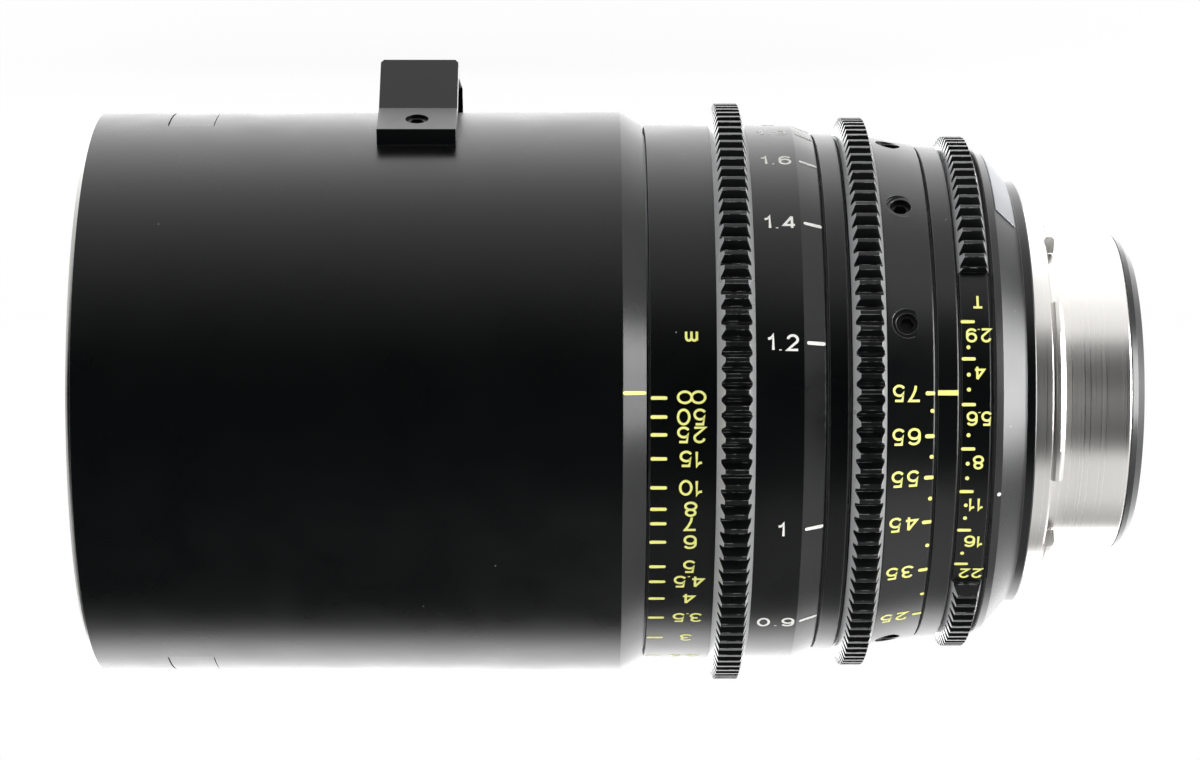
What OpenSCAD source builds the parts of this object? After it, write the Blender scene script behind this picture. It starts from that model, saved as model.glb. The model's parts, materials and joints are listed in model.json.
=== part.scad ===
// Cinema zoom lens, 25 to 75 millimetres, with a four-tab bayonet mount.
// The optical axis is X and the front of the lens looks along +X.
// The origin is the centre of the mount's seat, and the support foot is at -Z.
// Outlines are lists of [station, radius], turned about the optical axis.
// An angle round the lens is in degrees about +X, and 0 is the -Y side.

/* [Mount] */
// Radius of the locating tube
mount_tube_r = 27; // [26.6:0.1:27.6]
// Length of the locating tube behind the seat
mount_tube_len = 11.6; // [11:0.1:13]
// Wall of the locating tube
mount_tube_wall = 1.6; // [1.4:0.1:1.8]
// Outer radius of the bayonet tabs and of the shoulder behind them
tab_r = 31.6; // [31.4:0.1:32.4]
// Thickness of a bayonet tab
tab_thick = 1.8; // [1.6:0.1:2.4]
// Radius of the neck between two tabs
neck_r = 28.3; // [28.1:0.1:28.6]
// Length of the shoulder in front of the tabs
shoulder_len = 3.4; // [3:0.1:4]
// Thickness of the shim that sets the flange distance
shim_thick = 0.2; // [0.1:0.05:0.5]
// Length of the black ring that closes the mount tube
rear_ring_len = 2.3; // [2:0.1:3]

/* [Rear housing] */
// Length of the rear housing
housing_len = 7.4; // [7:0.1:9]
// Radius of the rear housing next to the iris ring
housing_r = 41.5; // [41.2:0.1:42]
// Radius of the rear housing where its cone meets the mount
housing_end_r = 36; // [35:0.1:37]
// Length of the cylinder in front of the cone
housing_land = 1.4; // [1.2:0.1:2.2]

/* [Control rings] */
// Gap between a ring that turns and its neighbour
ring_gap = 0.35; // [0.3:0.05:0.5]
// Radial clearance of a ring that turns on the main tube
running_clearance = 0.05; // [0.02:0.01:0.08]
// Length of the iris ring
iris_len = 5.2; // [5:0.1:6]
// Radius of the iris ring at its scale
iris_scale_r = 41.5; // [41.3:0.1:41.8]
// Length of the fixed index ring
index_len = 3.5; // [3:0.1:4.5]
// Radius of the index ring at its rear edge
index_r = 41.8; // [41.5:0.1:42]
// Length of the zoom ring
zoom_len = 13.45; // [13:0.05:15]
// Radius of the zoom ring at its rear edge
zoom_rear_r = 42.2; // [42:0.1:42.6]
// Radius of the zoom ring under its gear
zoom_r = 43.6; // [43.4:0.1:44]
// Length of the fixed band between the zoom ring and the focus ring
band_len = 3.3; // [3:0.1:4]
// Radius of the fixed band
band_r = 44.1; // [43.8:0.1:44.6]
// Length of the focus ring
focus_len = 28.3; // [27.8:0.1:30]
// Radius of the focus ring
focus_r = 45.5; // [45.3:0.1:45.9]
// Radius of the focus ring at its rear edge
focus_rear_r = 44.15; // [44:0.05:44.5]

/* [Gears] */
// Module of the three ring gears
gear_module = 0.8; // [0.78:0.01:0.82]
// Teeth round the focus gear
focus_teeth = 121; // [120:1:122]
// Teeth round the zoom gear
zoom_teeth = 115; // [114:1:116]
// Teeth round the iris gear, as if it went all the way round
iris_teeth = 107; // [106:1:108]
// Length of the focus gear
focus_gear_len = 6.2; // [6:0.1:7]
// Length of the zoom gear
zoom_gear_len = 5.5; // [5.4:0.1:6]
// Angle that a gear's sides lean in by
gear_lean = 18; // [14:1:20]

/* [Ring travel] */
// Turn of the focus ring from infinity to its near stop, in degrees
focus_throw = 270; // [240:5:280]
// Turn of the zoom ring from the long end to the wide end, in degrees
zoom_throw = 60; // [50:1:65]
// Turn of the iris ring from the photographed stop to wide open, in degrees
iris_open_turn = 15.7; // [14:0.1:17]
// Turn of the iris ring from the photographed stop to its smallest, in degrees
iris_close_turn = 42.3; // [40:0.1:43]

/* [Front barrel] */
// Length of the front barrel
barrel_len = 91.05; // [90:0.05:95]
// Radius of the front barrel at its front, the clamping diameter of a matte box
barrel_front_r = 47.5; // [47.3:0.1:47.6]
// Radius of the front barrel behind its clamping zone
barrel_rear_r = 47.75; // [47.6:0.05:47.9]
// Radius at the small end of the barrel's rear chamfer
barrel_edge_r = 45.5; // [45.2:0.1:45.9]
// Length of the rear chamfer
barrel_chamfer = 3.75; // [3:0.05:4.5]
// Wall of the front barrel
barrel_wall = 2.2; // [2:0.1:2.4]
// Depth of the bright rim in front of the barrel
rim_len = 0.7; // [0.5:0.1:1]
// Radius of the filter thread's core
filter_r = 42.5; // [42.2:0.1:42.8]

/* [Support foot] */
// Width of the foot along the lens
foot_w = 13; // [12:0.5:16]
// Plate thickness of the foot
foot_plate = 2.8; // [2.4:0.1:3.2]
// Half of the foot's width across the lens, where its walls meet the flanges
foot_half = 18.8; // [18:0.1:20]
// Half of the sole's width across the lens
foot_sole_half = 12.2; // [11:0.1:14]
// Distance of the foot's sole from the optical axis
foot_drop = 55.7; // [54.5:0.1:57]
// Length of a flange that lies on the barrel
foot_flange = 8.6; // [8:0.1:9]
// Radius of the tapped hole in the sole
foot_hole_r = 2.6; // [2:0.1:3.2]
// Station of the foot's middle, behind the front end of the barrel
foot_back = 53.7; // [52:0.1:54]

/* [Optics] */
// Travel of the focus group
focus_travel = 12; // [10:0.5:13]
// Travel of the variator
variator_travel = 14; // [12:0.5:15]
// Travel of the compensator
compensator_travel = 8; // [6:0.5:9]
// Outer radius of the guide tube's bore, in which the zoom groups slide
guide_bore_r = 31; // [30.6:0.1:31.2]
// Radius of the fully open iris
iris_open_r = 17; // [16:0.1:17.2]

/* [Hidden] */
turn_fn = 180;
hole_fn = 48;
overrun = 1;
edge_break = 0.2;
seat_clearance = 0.3;
slide_clearance = 0.05;
black = "#17181a";
silver = "#c9c7c3";
brass = "#b08d4a";
glass_tint = "#9fc4d6";
plate_grey = "#8d8f91";

// Stations along the optical axis, worked out from the mount's seat forwards
shim_rear = tab_thick + shoulder_len;
housing_rear = shim_rear + shim_thick;
housing_front = housing_rear + housing_len;
iris_rear = housing_front + ring_gap;
iris_front = iris_rear + iris_len;
index_rear = iris_front + ring_gap;
index_front = index_rear + index_len;
zoom_rear = index_front + ring_gap;
zoom_front = zoom_rear + zoom_len;
band_rear = zoom_front + ring_gap;
band_front = band_rear + band_len;
focus_rear = band_front + ring_gap;
focus_front = focus_rear + focus_len;
barrel_rear = focus_front + ring_gap;
barrel_front = barrel_rear + barrel_len;
rim_front = barrel_front + rim_len;

// Main tube: bearing radii of its three rings, then its bores
iris_ring_wall = 3.5;
seat_step = 0.5;
focus_ring_wall = 4.5;
iris_bearing_r = iris_scale_r - iris_ring_wall;
index_seat_r = iris_bearing_r + seat_step;
zoom_bearing_r = index_seat_r + seat_step;
focus_bearing_r = focus_r - focus_ring_wall;
tube_wall = 2.55;
iris_chamber_wall = 3.8;
iris_chamber_r = iris_bearing_r - iris_chamber_wall;
focus_bore_r = focus_bearing_r - tube_wall;
web_thick = 4.2;
web_front = housing_rear + web_thick;
chamber_lip = 0.85;
chamber_front = iris_front - chamber_lip;

// Guide tube and zoom cam barrel, one inside the other
guide_wall = 2;
cam_wall = 1.95;
guide_r = guide_bore_r + guide_wall;
cam_bore_r = guide_r + running_clearance;
cam_r = cam_bore_r + cam_wall;
cam_room_r = cam_r + seat_clearance;
guide_step = 1.5;
light_r = guide_bore_r - guide_step;
guide_flange = 2;
spigot_len = 1.5;
cam_room_rear = index_front + index_len / 2;
guide_rear = cam_room_rear - spigot_len;

// Zoom groups: each cell slides in the guide tube on three rollers
group_gap = 4;
comp_cell_len = 8;
var_cell_len = 10;
comp_rear = cam_room_rear + group_gap + compensator_travel;
var_rear = comp_rear + comp_cell_len + group_gap;
cam_room_front = var_rear + var_cell_len + variator_travel + group_gap;
guide_front = cam_room_front + guide_flange;
zoom_cell_r = guide_bore_r - slide_clearance;
roller_r = 1.3;
roller_head_r = 0.9;
slot_r = roller_r + slide_clearance;
comp_roller = comp_rear + comp_cell_len / 2;
var_roller = var_rear + var_cell_len / 2;

// Focus group: it slides in the main tube, in front of the guide tube
focus_cell_len = 13;
focus_cell_rear = guide_front + seat_clearance + edge_break;
focus_cell_r = focus_bore_r - slide_clearance;
focus_roller = focus_cell_rear + roller_r + edge_break;

// Focus cam sleeve: it turns on the main tube, screwed into the focus ring
sleeve_wall = 2.9;
sleeve_bore_r = focus_bearing_r + running_clearance;
sleeve_r = sleeve_bore_r + sleeve_wall;
sleeve_seat_len = 5;
sleeve_rear = focus_front - sleeve_seat_len;
sleeve_front = focus_roller + focus_travel + 2 * roller_r + edge_break;
groove_depth = 2.1;

// Adapter ring that carries the front barrel on the main tube
adapter_len = 16;
barrel_bore_r = barrel_front_r - barrel_wall;
adapter_rear = sleeve_front + seat_clearance;
adapter_front = adapter_rear + adapter_len;
tube_front = adapter_front;

// Front cell and its glass
front_bore_step = 1.5;
front_bore_r = barrel_bore_r - front_bore_step;
front_seat = adapter_front + group_gap;
front_lip = 2;
front_lip_step = 1.5;
front_cell_wall = 2.4;
front_glass_r = front_bore_r - front_cell_wall;
filter_depth = 6;
filter_rear = rim_front - filter_depth;
retainer_len = 5;
front_glass_front = filter_rear - retainer_len;
front_glass_edge = 6;
front_spacer_len = 6;
second_glass_edge = 9;
front_glass_rear = front_glass_front - front_glass_edge;
second_glass_front = front_glass_rear - front_spacer_len;
second_glass_rear = second_glass_front - second_glass_edge;

// Rear cell and its glass
rear_cell_wall = 2.6;
tube_bore_r = mount_tube_r - mount_tube_wall;
rear_cell_r = tube_bore_r - seat_clearance;
rear_glass_r = rear_cell_r - rear_cell_wall;
rear_flange = 2;
rear_lip = 0.9;
rear_cell_rear = -mount_tube_len + rear_lip;
rear_seat_len = 1.8;

// Iris: a base plate, nine blades in planes of their own, and a drive ring
blade_count = 9;
iris_base_thick = 0.8;
blade_thick = 0.13;
blade_pitch = 0.21;
drive_thick = 1.5;
drive_front = chamber_front - seat_clearance;
drive_rear = drive_front - drive_thick;
blade_stack = blade_count * blade_pitch;
blade_rear = drive_rear - blade_pitch - blade_stack;
iris_base_front = blade_rear - blade_pitch;
iris_base_rear = iris_base_front - iris_base_thick;
blade_inner_r = iris_open_r + seat_clearance;
pivot_r = 28;
blade_outer_r = 25.2;
pin_r = 0.6;
pin_clearance = 0.12;
pin_arm = 8;
blade_swing = 30.2;
blade_ratio_share = blade_swing / (iris_open_turn + iris_close_turn);
blade_rest = iris_open_turn * blade_ratio_share;
link_r = 0.55;

// Gears
focus_cone_len = 3.6;
focus_white_len = 7.7;
focus_gear_rear = focus_rear + focus_cone_len + focus_white_len;
zoom_gear_rear = zoom_front - edge_break - zoom_gear_len;
iris_land_from = -48.6;
iris_land_turn = 76.2;

// Details of the outside
lever_hole_r = 1.75;
lever_hole_mouth_r = 2.45;
lever_hole_depth = 3.2;
lever_first = 14.8;
lever_step = 30;
lever_count = 10;
badge_len = 7.8;
badge_back = 12;
badge_depth = 0.45;
badge_thick = 0.35;
badge_turn = 43;
label_len = 3.5;
label_thick = 0.2;
label_turn = 86;
tab_turn = 55.6;
wide_tab_turn = 71;
tab_middle_turn = 36;
badge_rear = barrel_front - badge_back - badge_len;
badge_margin = 0.25;
foot_chamfer = 0.5;
foot_socket = 2;
foot_socket_depth = 1.2;
housing_rise = 0.5;
housing_band = 1.6;
label_rear = housing_front - housing_land - label_len - edge_break;
lever_back = 4.4;
lever_mid = zoom_rear + lever_back;
lever_floor_r = zoom_r - lever_hole_depth - edge_break;
lever_mouth = 0.9;
lever_mouth_floor_r = zoom_r - lever_mouth;

// Mount screws, between the tabs
mount_screw_r = 0.8;
mount_screw_head_r = 1.15;
mount_screw_head = 1.2;
mount_socket_r = 0.6;
mount_screw_circle = (neck_r + tab_r) / 2;
mount_screw_len = shoulder_len + shim_thick + web_thick - edge_break;

// What joins the outer rings to the parts inside, through slots in the main tube
roller_turns = [30, 150, 270];
zoom_bore_r = zoom_bearing_r + running_clearance;
key_turn = 200;
key_w = 6;
key_len = 3.5;
key_rear = zoom_gear_rear + edge_break;
key_pocket = 2.4;
key_top_r = zoom_bearing_r + key_pocket;
link_turn = 120;
link_reach = 1.6;
link_mid = (drive_rear + drive_front) / 2;
iris_land_height = 0.9;
iris_seat_r = iris_scale_r - iris_land_height;

module across(station)
    translate([station, 0, 0]) rotate([-90, 0, 0]) rotate([0, 90, 0]) children();

module outward(station, turn)
    translate([station, 0, 0]) rotate([turn + 90, 0, 0]) children();

module turned(outline)
    across(0) rotate_extrude($fn = turn_fn) polygon([for (p = outline) [p[1], p[0]]]);

module turned_part(from_turn, turn, outline)
    across(0) rotate(from_turn) rotate_extrude(angle = turn, $fn = turn_fn)
        polygon([for (p = outline) [p[1], p[0]]]);

module tube(rear, front, inner, outer)
    turned([[rear, inner], [rear, outer], [front, outer], [front, inner]]);

module peg(station, turn, inner, outer, r)
    outward(station, turn) translate([0, 0, inner]) cylinder(h = outer - inner, r = r, $fn = hole_fn);

module straight_slot(turn, from, to, r, inner, outer) {
    peg(from, turn, inner, outer, r);
    peg(to, turn, inner, outer, r);
    outward(from, turn) translate([0, -r, inner]) cube([to - from, 2 * r, outer - inner]);
}

// A sector between two radii, centred on local X, with its arcs in equal steps
function arc(r, from_turn, to_turn, steps) =
    [for (i = [0:steps]) let (a = from_turn + (to_turn - from_turn) * i / steps) r * [cos(a), sin(a)]];
function sector(inner, outer, from_turn, to_turn, steps) =
    concat(arc(outer, from_turn, to_turn, steps), arc(inner, to_turn, from_turn, steps));

// A slot that winds from one station and turn to another at a steady rate
twist_step = 10;
slot_arc_steps = 4;
blade_arc_steps = 16;
module winding_slot(station, travel, from_turn, throw, r, inner, outer) {
    lead = atan(abs(travel) / (throw * PI / 180 * inner));
    wide = 2 * r / cos(lead);
    rate = throw / travel;
    low = min(station, station + travel) - wide / 2;
    high = max(station, station + travel) + wide / 2;
    end_turn = asin(r / inner);
    half_turn = wide * abs(rate) / 2;
    total = (high - low) * rate;
    intersection() {
        across(low) rotate(from_turn - (low - station) * rate)
            linear_extrude(height = high - low, twist = total, slices = ceil(abs(total) / twist_step))
                polygon(sector(inner, outer, -half_turn, half_turn, slot_arc_steps));
        turned_part(from_turn - throw - end_turn, throw + 2 * end_turn,
            [[low - overrun, inner - overrun], [low - overrun, outer + overrun],
             [high + overrun, outer + overrun], [high + overrun, inner - overrun]]);
    }
}

// A glass element: its edge runs from rear to front, and its faces bulge or dish
// inside a flat rim, which the seats and the retaining rings bear on
glass_steps = 12;
glass_rim = 1.8;
module glass(rear, front, r, rear_bulge, front_bulge) {
    clear_r = r - glass_rim;
    color(glass_tint, 0.4) turned(concat(
        [for (i = [0:glass_steps]) let (s = i / glass_steps) [front + front_bulge * (1 - s * s), clear_r * s]],
        [[front, r], [rear, r]],
        [for (i = [glass_steps:-1:0]) let (s = i / glass_steps) [rear - rear_bulge * (1 - s * s), clear_r * s]]));
}

// Ring gears with straight-sided teeth and leaning sides
depth_share = 2.25;
pressure_angle = 20;
function tip_r(teeth) = gear_module * (teeth + 2) / 2;
function root_r(teeth) = tip_r(teeth) - depth_share * gear_module;
function half_tooth(teeth, r) =
    90 / teeth - (r - gear_module * teeth / 2) * tan(pressure_angle) / (gear_module * teeth / 2) * 180 / PI;
function gear_points(teeth) = [
    for (i = [0:teeth - 1]) for (c = [
        [root_r(teeth), -1], [tip_r(teeth), -1], [tip_r(teeth), 1], [root_r(teeth), 1]])
    let (a = 360 / teeth * i + c[1] * half_tooth(teeth, c[0])) c[0] * [cos(a), sin(a)]];

module ring_gear(teeth, rear, length, bore) {
    tip = tip_r(teeth);
    past = (tip + edge_break - bore) * tan(gear_lean);
    intersection() {
        across(rear) linear_extrude(length) polygon(gear_points(teeth));
        turned([[rear, bore], [rear + past, tip + edge_break],
                [rear + length - past, tip + edge_break], [rear + length, bore]]);
    }
}

module hex_socket(station, turn, inner, outer, across_flats)
    outward(station, turn) translate([0, 0, inner])
        cylinder(h = outer - inner, r = across_flats / sqrt(3), $fn = 6);

// Fixed body

module filter_ring()
    color(silver) turned([[filter_rear, filter_r], [filter_rear, front_bore_r], [barrel_front, front_bore_r],
        [barrel_front, barrel_front_r - edge_break], [rim_front - rim_len / 2, barrel_front_r - edge_break],
        [rim_front, barrel_front_r - edge_break - rim_len / 2], [rim_front, filter_r]]);

badge_floor_r = barrel_front_r - badge_depth;
module badge_pocket(turn)
    turned_part(turn - badge_turn / 2, badge_turn,
        [[badge_rear, badge_floor_r], [badge_rear, barrel_rear_r + overrun],
         [badge_rear + badge_len, barrel_rear_r + overrun], [badge_rear + badge_len, badge_floor_r]]);

foot_mid = barrel_front - foot_back;
foot_flange_turn = 27;
foot_bottom_turn = 90;
clamp_len = 20;
barrel_throat_r = sleeve_r + seat_clearance;
throat_len = 2;
screw_r = 1.5;
module front_barrel()
    color(black) difference() {
        turned([[barrel_rear, barrel_throat_r], [barrel_rear, barrel_edge_r],
            [barrel_rear + barrel_chamfer, barrel_rear_r], [barrel_front - clamp_len, barrel_front_r],
            [barrel_front, barrel_front_r], [barrel_front, front_bore_r], [front_seat, front_bore_r],
            [front_seat, front_bore_r - front_lip_step], [front_seat - front_lip, front_bore_r - front_lip_step],
            [front_seat - front_lip, barrel_bore_r], [barrel_rear + throat_len, barrel_bore_r],
            [barrel_rear + throat_len, barrel_throat_r]]);
        badge_pocket(foot_bottom_turn);
        badge_pocket(-foot_bottom_turn);
        for (side = [-1, 1])
            peg(foot_mid, foot_bottom_turn + side * foot_flange_turn, barrel_bore_r - overrun,
                barrel_rear_r + overrun, screw_r);
    }

module badge(turn)
    color(black) turned_part(turn - badge_turn / 2 + badge_margin, badge_turn - 2 * badge_margin,
        [[badge_rear + edge_break, badge_floor_r], [badge_rear + edge_break, badge_floor_r + badge_thick],
         [badge_rear + badge_len - edge_break, badge_floor_r + badge_thick],
         [badge_rear + badge_len - edge_break, badge_floor_r]]);
module bottom_badge() badge(foot_bottom_turn);
module top_badge() badge(-foot_bottom_turn);

flange_face_r = barrel_rear_r + foot_plate - edge_break / 2;
foot_screw_head_r = 1.9;
foot_screw_sink = 0.5;
foot_screw_head = 1.7;
foot_knee = flange_face_r * cos(foot_flange_turn)
    + (flange_face_r * sin(foot_flange_turn) - foot_half) * tan(foot_flange_turn);
foot_lean = atan((foot_half - foot_sole_half) / (foot_drop - foot_knee));
foot_wall = foot_plate / cos(foot_lean);
module foot_slab()
    across(foot_mid - foot_w / 2) linear_extrude(foot_w) rotate(foot_bottom_turn) children();
module foot_flange_outline(side)
    rotate(side * foot_flange_turn)
        translate([barrel_front_r - foot_plate, -foot_flange / 2 - (side > 0 ? foot_plate : 0)])
            square([flange_face_r - barrel_front_r + foot_plate, foot_flange + foot_plate]);
module foot_arch_outline() {
    arch_top = foot_knee - foot_plate / 2;
    top_half = foot_half + foot_plate / 2 * tan(foot_lean);
    inner_half = foot_sole_half + foot_plate * tan(foot_lean) - foot_wall;
    polygon([[arch_top, top_half], [foot_drop, foot_sole_half], [foot_drop, -foot_sole_half], [arch_top, -top_half],
        [arch_top, foot_wall - top_half], [foot_drop - foot_plate, -inner_half],
        [foot_drop - foot_plate, inner_half], [arch_top, top_half - foot_wall]]);
}
module support_foot()
    color(black) difference() {
        union() {
            for (side = [-1, 1]) foot_slab() foot_flange_outline(side);
            foot_slab() foot_arch_outline();
        }
        across(foot_mid - foot_w) cylinder(h = 2 * foot_w, r = barrel_rear_r, $fn = turn_fn);
        for (side = [-1, 1]) {
            peg(foot_mid, foot_bottom_turn + side * foot_flange_turn, barrel_front_r - overrun,
                flange_face_r + overrun, screw_r);
            peg(foot_mid, foot_bottom_turn + side * foot_flange_turn,
                flange_face_r - foot_screw_sink - foot_screw_head, flange_face_r + overrun, foot_screw_head_r);
        }
        peg(foot_mid, foot_bottom_turn, foot_drop - foot_plate - overrun, foot_drop + overrun, foot_hole_r);
        for (end = [-1, 1])
            translate([foot_mid + end * foot_w / 2, 0, -foot_drop]) rotate([0, 45, 0])
                cube([foot_chamfer * sqrt(2), 3 * foot_half, foot_chamfer * sqrt(2)], center = true);
    }

foot_screw_depth = 4;
module foot_screws()
    color(black) for (side = [-1, 1]) difference() {
        union() {
            peg(foot_mid, foot_bottom_turn + side * foot_flange_turn,
                flange_face_r - foot_screw_sink - foot_screw_head, flange_face_r - foot_screw_sink,
                foot_screw_head_r);
            peg(foot_mid, foot_bottom_turn + side * foot_flange_turn,
                barrel_bore_r - foot_screw_depth + edge_break, flange_face_r - foot_screw_sink - foot_screw_head,
                screw_r);
        }
        hex_socket(foot_mid, foot_bottom_turn + side * foot_flange_turn,
            flange_face_r - foot_screw_sink - foot_socket_depth, flange_face_r + overrun, foot_socket);
    }

module barrel_adapter()
    color(black) difference() {
        tube(adapter_rear, adapter_front, focus_bearing_r, barrel_bore_r);
        for (side = [-1, 1])
            peg(foot_mid, foot_bottom_turn + side * foot_flange_turn, barrel_bore_r - foot_screw_depth,
                barrel_bore_r + overrun, screw_r);
    }

front_ring_lip = 1.4;
module front_retaining_ring()
    color(black) turned([[front_glass_front, front_glass_r - front_ring_lip], [front_glass_front, front_bore_r],
        [filter_rear, front_bore_r], [filter_rear, front_glass_r - edge_break]]);

module front_cell()
    color(black) turned([[front_seat, front_glass_r - front_cell_wall], [front_seat, front_bore_r],
        [front_glass_front, front_bore_r], [front_glass_front, front_glass_r], [second_glass_rear, front_glass_r],
        [second_glass_rear, front_glass_r - front_cell_wall]]);

front_bulge = 5;
second_bulge = 3;
module front_element() glass(front_glass_rear, front_glass_front, front_glass_r, -front_bulge / 2, front_bulge - edge_break);
module second_element() glass(second_glass_rear, second_glass_front, front_glass_r, second_bulge, second_bulge);
module front_spacer()
    color(black) tube(second_glass_front, front_glass_rear, front_glass_r - front_ring_lip, front_glass_r);

module main_tube() {
    key_half = asin((key_w / 2 + seat_clearance) / cam_room_r);
    link_half = asin((link_r + seat_clearance) / iris_chamber_r);
    color(black) difference() {
        turned([[web_front, iris_bearing_r], [index_rear, iris_bearing_r], [index_rear, index_seat_r],
            [index_front, index_seat_r], [index_front, zoom_bearing_r], [band_rear, zoom_bearing_r],
            [band_rear, band_r - edge_break], [band_rear + edge_break, band_r],
            [band_front - edge_break, band_r], [band_front, band_r - edge_break],
            [band_front, focus_bearing_r], [tube_front, focus_bearing_r], [tube_front, focus_bore_r],
            [cam_room_front, focus_bore_r], [cam_room_front, cam_room_r], [cam_room_rear, cam_room_r],
            [cam_room_rear, guide_r], [guide_rear, guide_r], [guide_rear, light_r],
            [chamber_front, light_r], [chamber_front, iris_chamber_r], [web_front, iris_chamber_r]]);
        turned_part(key_turn - key_half, zoom_throw + 2 * key_half,
            [[key_rear - seat_clearance, cam_room_r - overrun], [key_rear - seat_clearance, zoom_bearing_r + overrun],
             [key_rear + key_len + seat_clearance, zoom_bearing_r + overrun],
             [key_rear + key_len + seat_clearance, cam_room_r - overrun]]);
        turned_part(link_turn - iris_open_turn - link_half, iris_open_turn + iris_close_turn + 2 * link_half,
            [[link_mid - link_r - seat_clearance, iris_chamber_r - overrun],
             [link_mid - link_r - seat_clearance, iris_bearing_r + overrun],
             [link_mid + link_r + seat_clearance, iris_bearing_r + overrun],
             [link_mid + link_r + seat_clearance, iris_chamber_r - overrun]]);
        for (turn = roller_turns)
            straight_slot(turn, focus_roller, focus_roller + focus_travel, slot_r,
                focus_bore_r - overrun, focus_bearing_r + overrun);
    }
}

module guide_tube()
    color(plate_grey) difference() {
        turned([[guide_rear, guide_bore_r], [guide_rear, guide_r], [cam_room_front, guide_r],
            [cam_room_front, focus_bore_r], [guide_front, focus_bore_r], [guide_front, guide_bore_r]]);
        for (turn = roller_turns) {
            straight_slot(turn, var_roller, var_roller + variator_travel, slot_r,
                guide_bore_r - overrun, guide_r + overrun);
            straight_slot(turn, comp_roller - compensator_travel, comp_roller, slot_r,
                guide_bore_r - overrun, guide_r + overrun);
        }
    }

module index_ring()
    color(black) turned([[index_rear, index_seat_r], [index_rear, index_r - edge_break],
        [index_rear + edge_break, index_r], [index_front - edge_break, index_r + edge_break],
        [index_front, index_r], [index_front, index_seat_r]]);

module rear_housing()
    color(black) difference() {
        turned([[housing_rear, tube_bore_r], [housing_rear, housing_end_r - edge_break],
            [housing_rear + edge_break, housing_end_r], [housing_rear + housing_band, housing_end_r],
            [housing_front - housing_land, housing_r - housing_rise],
            [housing_front - edge_break, housing_r], [housing_front, housing_r - edge_break],
            [housing_front, iris_bearing_r], [web_front, iris_bearing_r], [web_front, tube_bore_r]]);
        mount_screw_holes(mount_screw_r);
    }
module mount_screw_holes(r)
    for (turn = [45:90:315])
        outward(tab_thick - overrun, turn) translate([0, 0, mount_screw_circle]) rotate([0, 90, 0])
            cylinder(h = mount_screw_len + overrun, r = r, $fn = hole_fn);

cone_slope = (housing_r - housing_rise - housing_end_r) / (housing_len - housing_land - housing_band);
cone_angle = atan(cone_slope);
module serial_plate() {
    rear_r = housing_end_r + (label_rear - housing_rear - housing_band) * cone_slope;
    front_r = rear_r + label_len * cone_slope;
    lean = [-sin(cone_angle), cos(cone_angle)] * label_thick;
    color(plate_grey) turned_part(foot_bottom_turn - label_turn / 2, label_turn,
        [[label_rear, rear_r], [label_rear, rear_r] + lean,
         [label_rear + label_len, front_r] + lean, [label_rear + label_len, front_r]]);
}

module flange_shim()
    color(brass) difference() {
        tube(shim_rear, housing_rear, tube_bore_r, tab_r - edge_break);
        mount_screw_holes(mount_screw_r);
    }

tube_chamfer = 0.4;
tab_round = 0.8;
tab_side = 0.4;
shoulder_step = 0.4;
module bayonet_tab(turn, reach) {
    root = neck_r - edge_break;
    turned_part(turn - reach / 2, reach, concat(
        [[tab_thick + shoulder_step, root], [edge_break, root], [0, neck_r]],
        [for (a = [0:15:90]) [tab_round * (1 - cos(a)), tab_r - tab_round + tab_round * sin(a)]],
        [[tab_thick - tab_side, tab_r], [tab_thick, tab_r - tab_side],
         [tab_thick + shoulder_step, tab_r - tab_side]]));
}
module bayonet_trim(turn)
    turned_part(turn - tab_middle_turn / 2, tab_middle_turn,
        [[-overrun, tab_r - 2 * tab_side], [0, tab_r - 2 * tab_side], [2 * tab_side, tab_r],
         [2 * tab_side, tab_r + overrun], [-overrun, tab_r + overrun]]);
module lens_mount()
    color(silver) difference() {
        union() {
            turned([[-mount_tube_len, tube_bore_r], [-mount_tube_len, mount_tube_r - tube_chamfer],
                [tube_chamfer - mount_tube_len, mount_tube_r], [0, mount_tube_r], [0, neck_r], [tab_thick, neck_r], [tab_thick, tab_r - shoulder_step],
                [tab_thick + shoulder_step, tab_r], [shim_rear, tab_r], [shim_rear, tube_bore_r]]);
            for (turn = [0, 180]) bayonet_tab(turn, tab_turn);
            for (turn = [90, 270]) bayonet_tab(turn, wide_tab_turn);
        }
        for (turn = [0:90:270]) bayonet_trim(turn);
        mount_screw_holes(mount_screw_r);
        for (turn = [45:90:315])
            outward(tab_thick - overrun, turn) translate([0, 0, mount_screw_circle]) rotate([0, 90, 0])
                cylinder(h = mount_screw_head + overrun, r = mount_screw_head_r, $fn = hole_fn);
    }

module mount_screws()
    color(silver) for (turn = [45:90:315]) difference() {
        outward(tab_thick, turn) translate([0, 0, mount_screw_circle]) rotate([0, 90, 0]) union() {
            translate([0, 0, edge_break])
                cylinder(h = mount_screw_head - edge_break, r = mount_screw_head_r, $fn = hole_fn);
            cylinder(h = mount_screw_len - edge_break, r = mount_screw_r, $fn = hole_fn);
        }
        outward(tab_thick - overrun, turn) translate([0, 0, mount_screw_circle]) rotate([0, 90, 0])
            cylinder(h = overrun + mount_screw_head - edge_break, r = mount_socket_r, $fn = 6);
    }

rear_ring_bore = 21.5;
rear_ring_step = 0.2;
rear_ring_rise = 1.3;
rear_ring_taper = 2.5;
module rear_ring()
    color(black) turned([[-mount_tube_len - rear_ring_len, rear_ring_bore],
        [-mount_tube_len - rear_ring_len, mount_tube_r - rear_ring_taper],
        [rear_ring_rise - mount_tube_len - rear_ring_len, mount_tube_r - rear_ring_taper / 3],
        [-mount_tube_len, mount_tube_r - rear_ring_step],
        [-mount_tube_len, tube_bore_r], [rear_cell_rear, tube_bore_r], [rear_cell_rear, rear_ring_bore]]);

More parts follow.
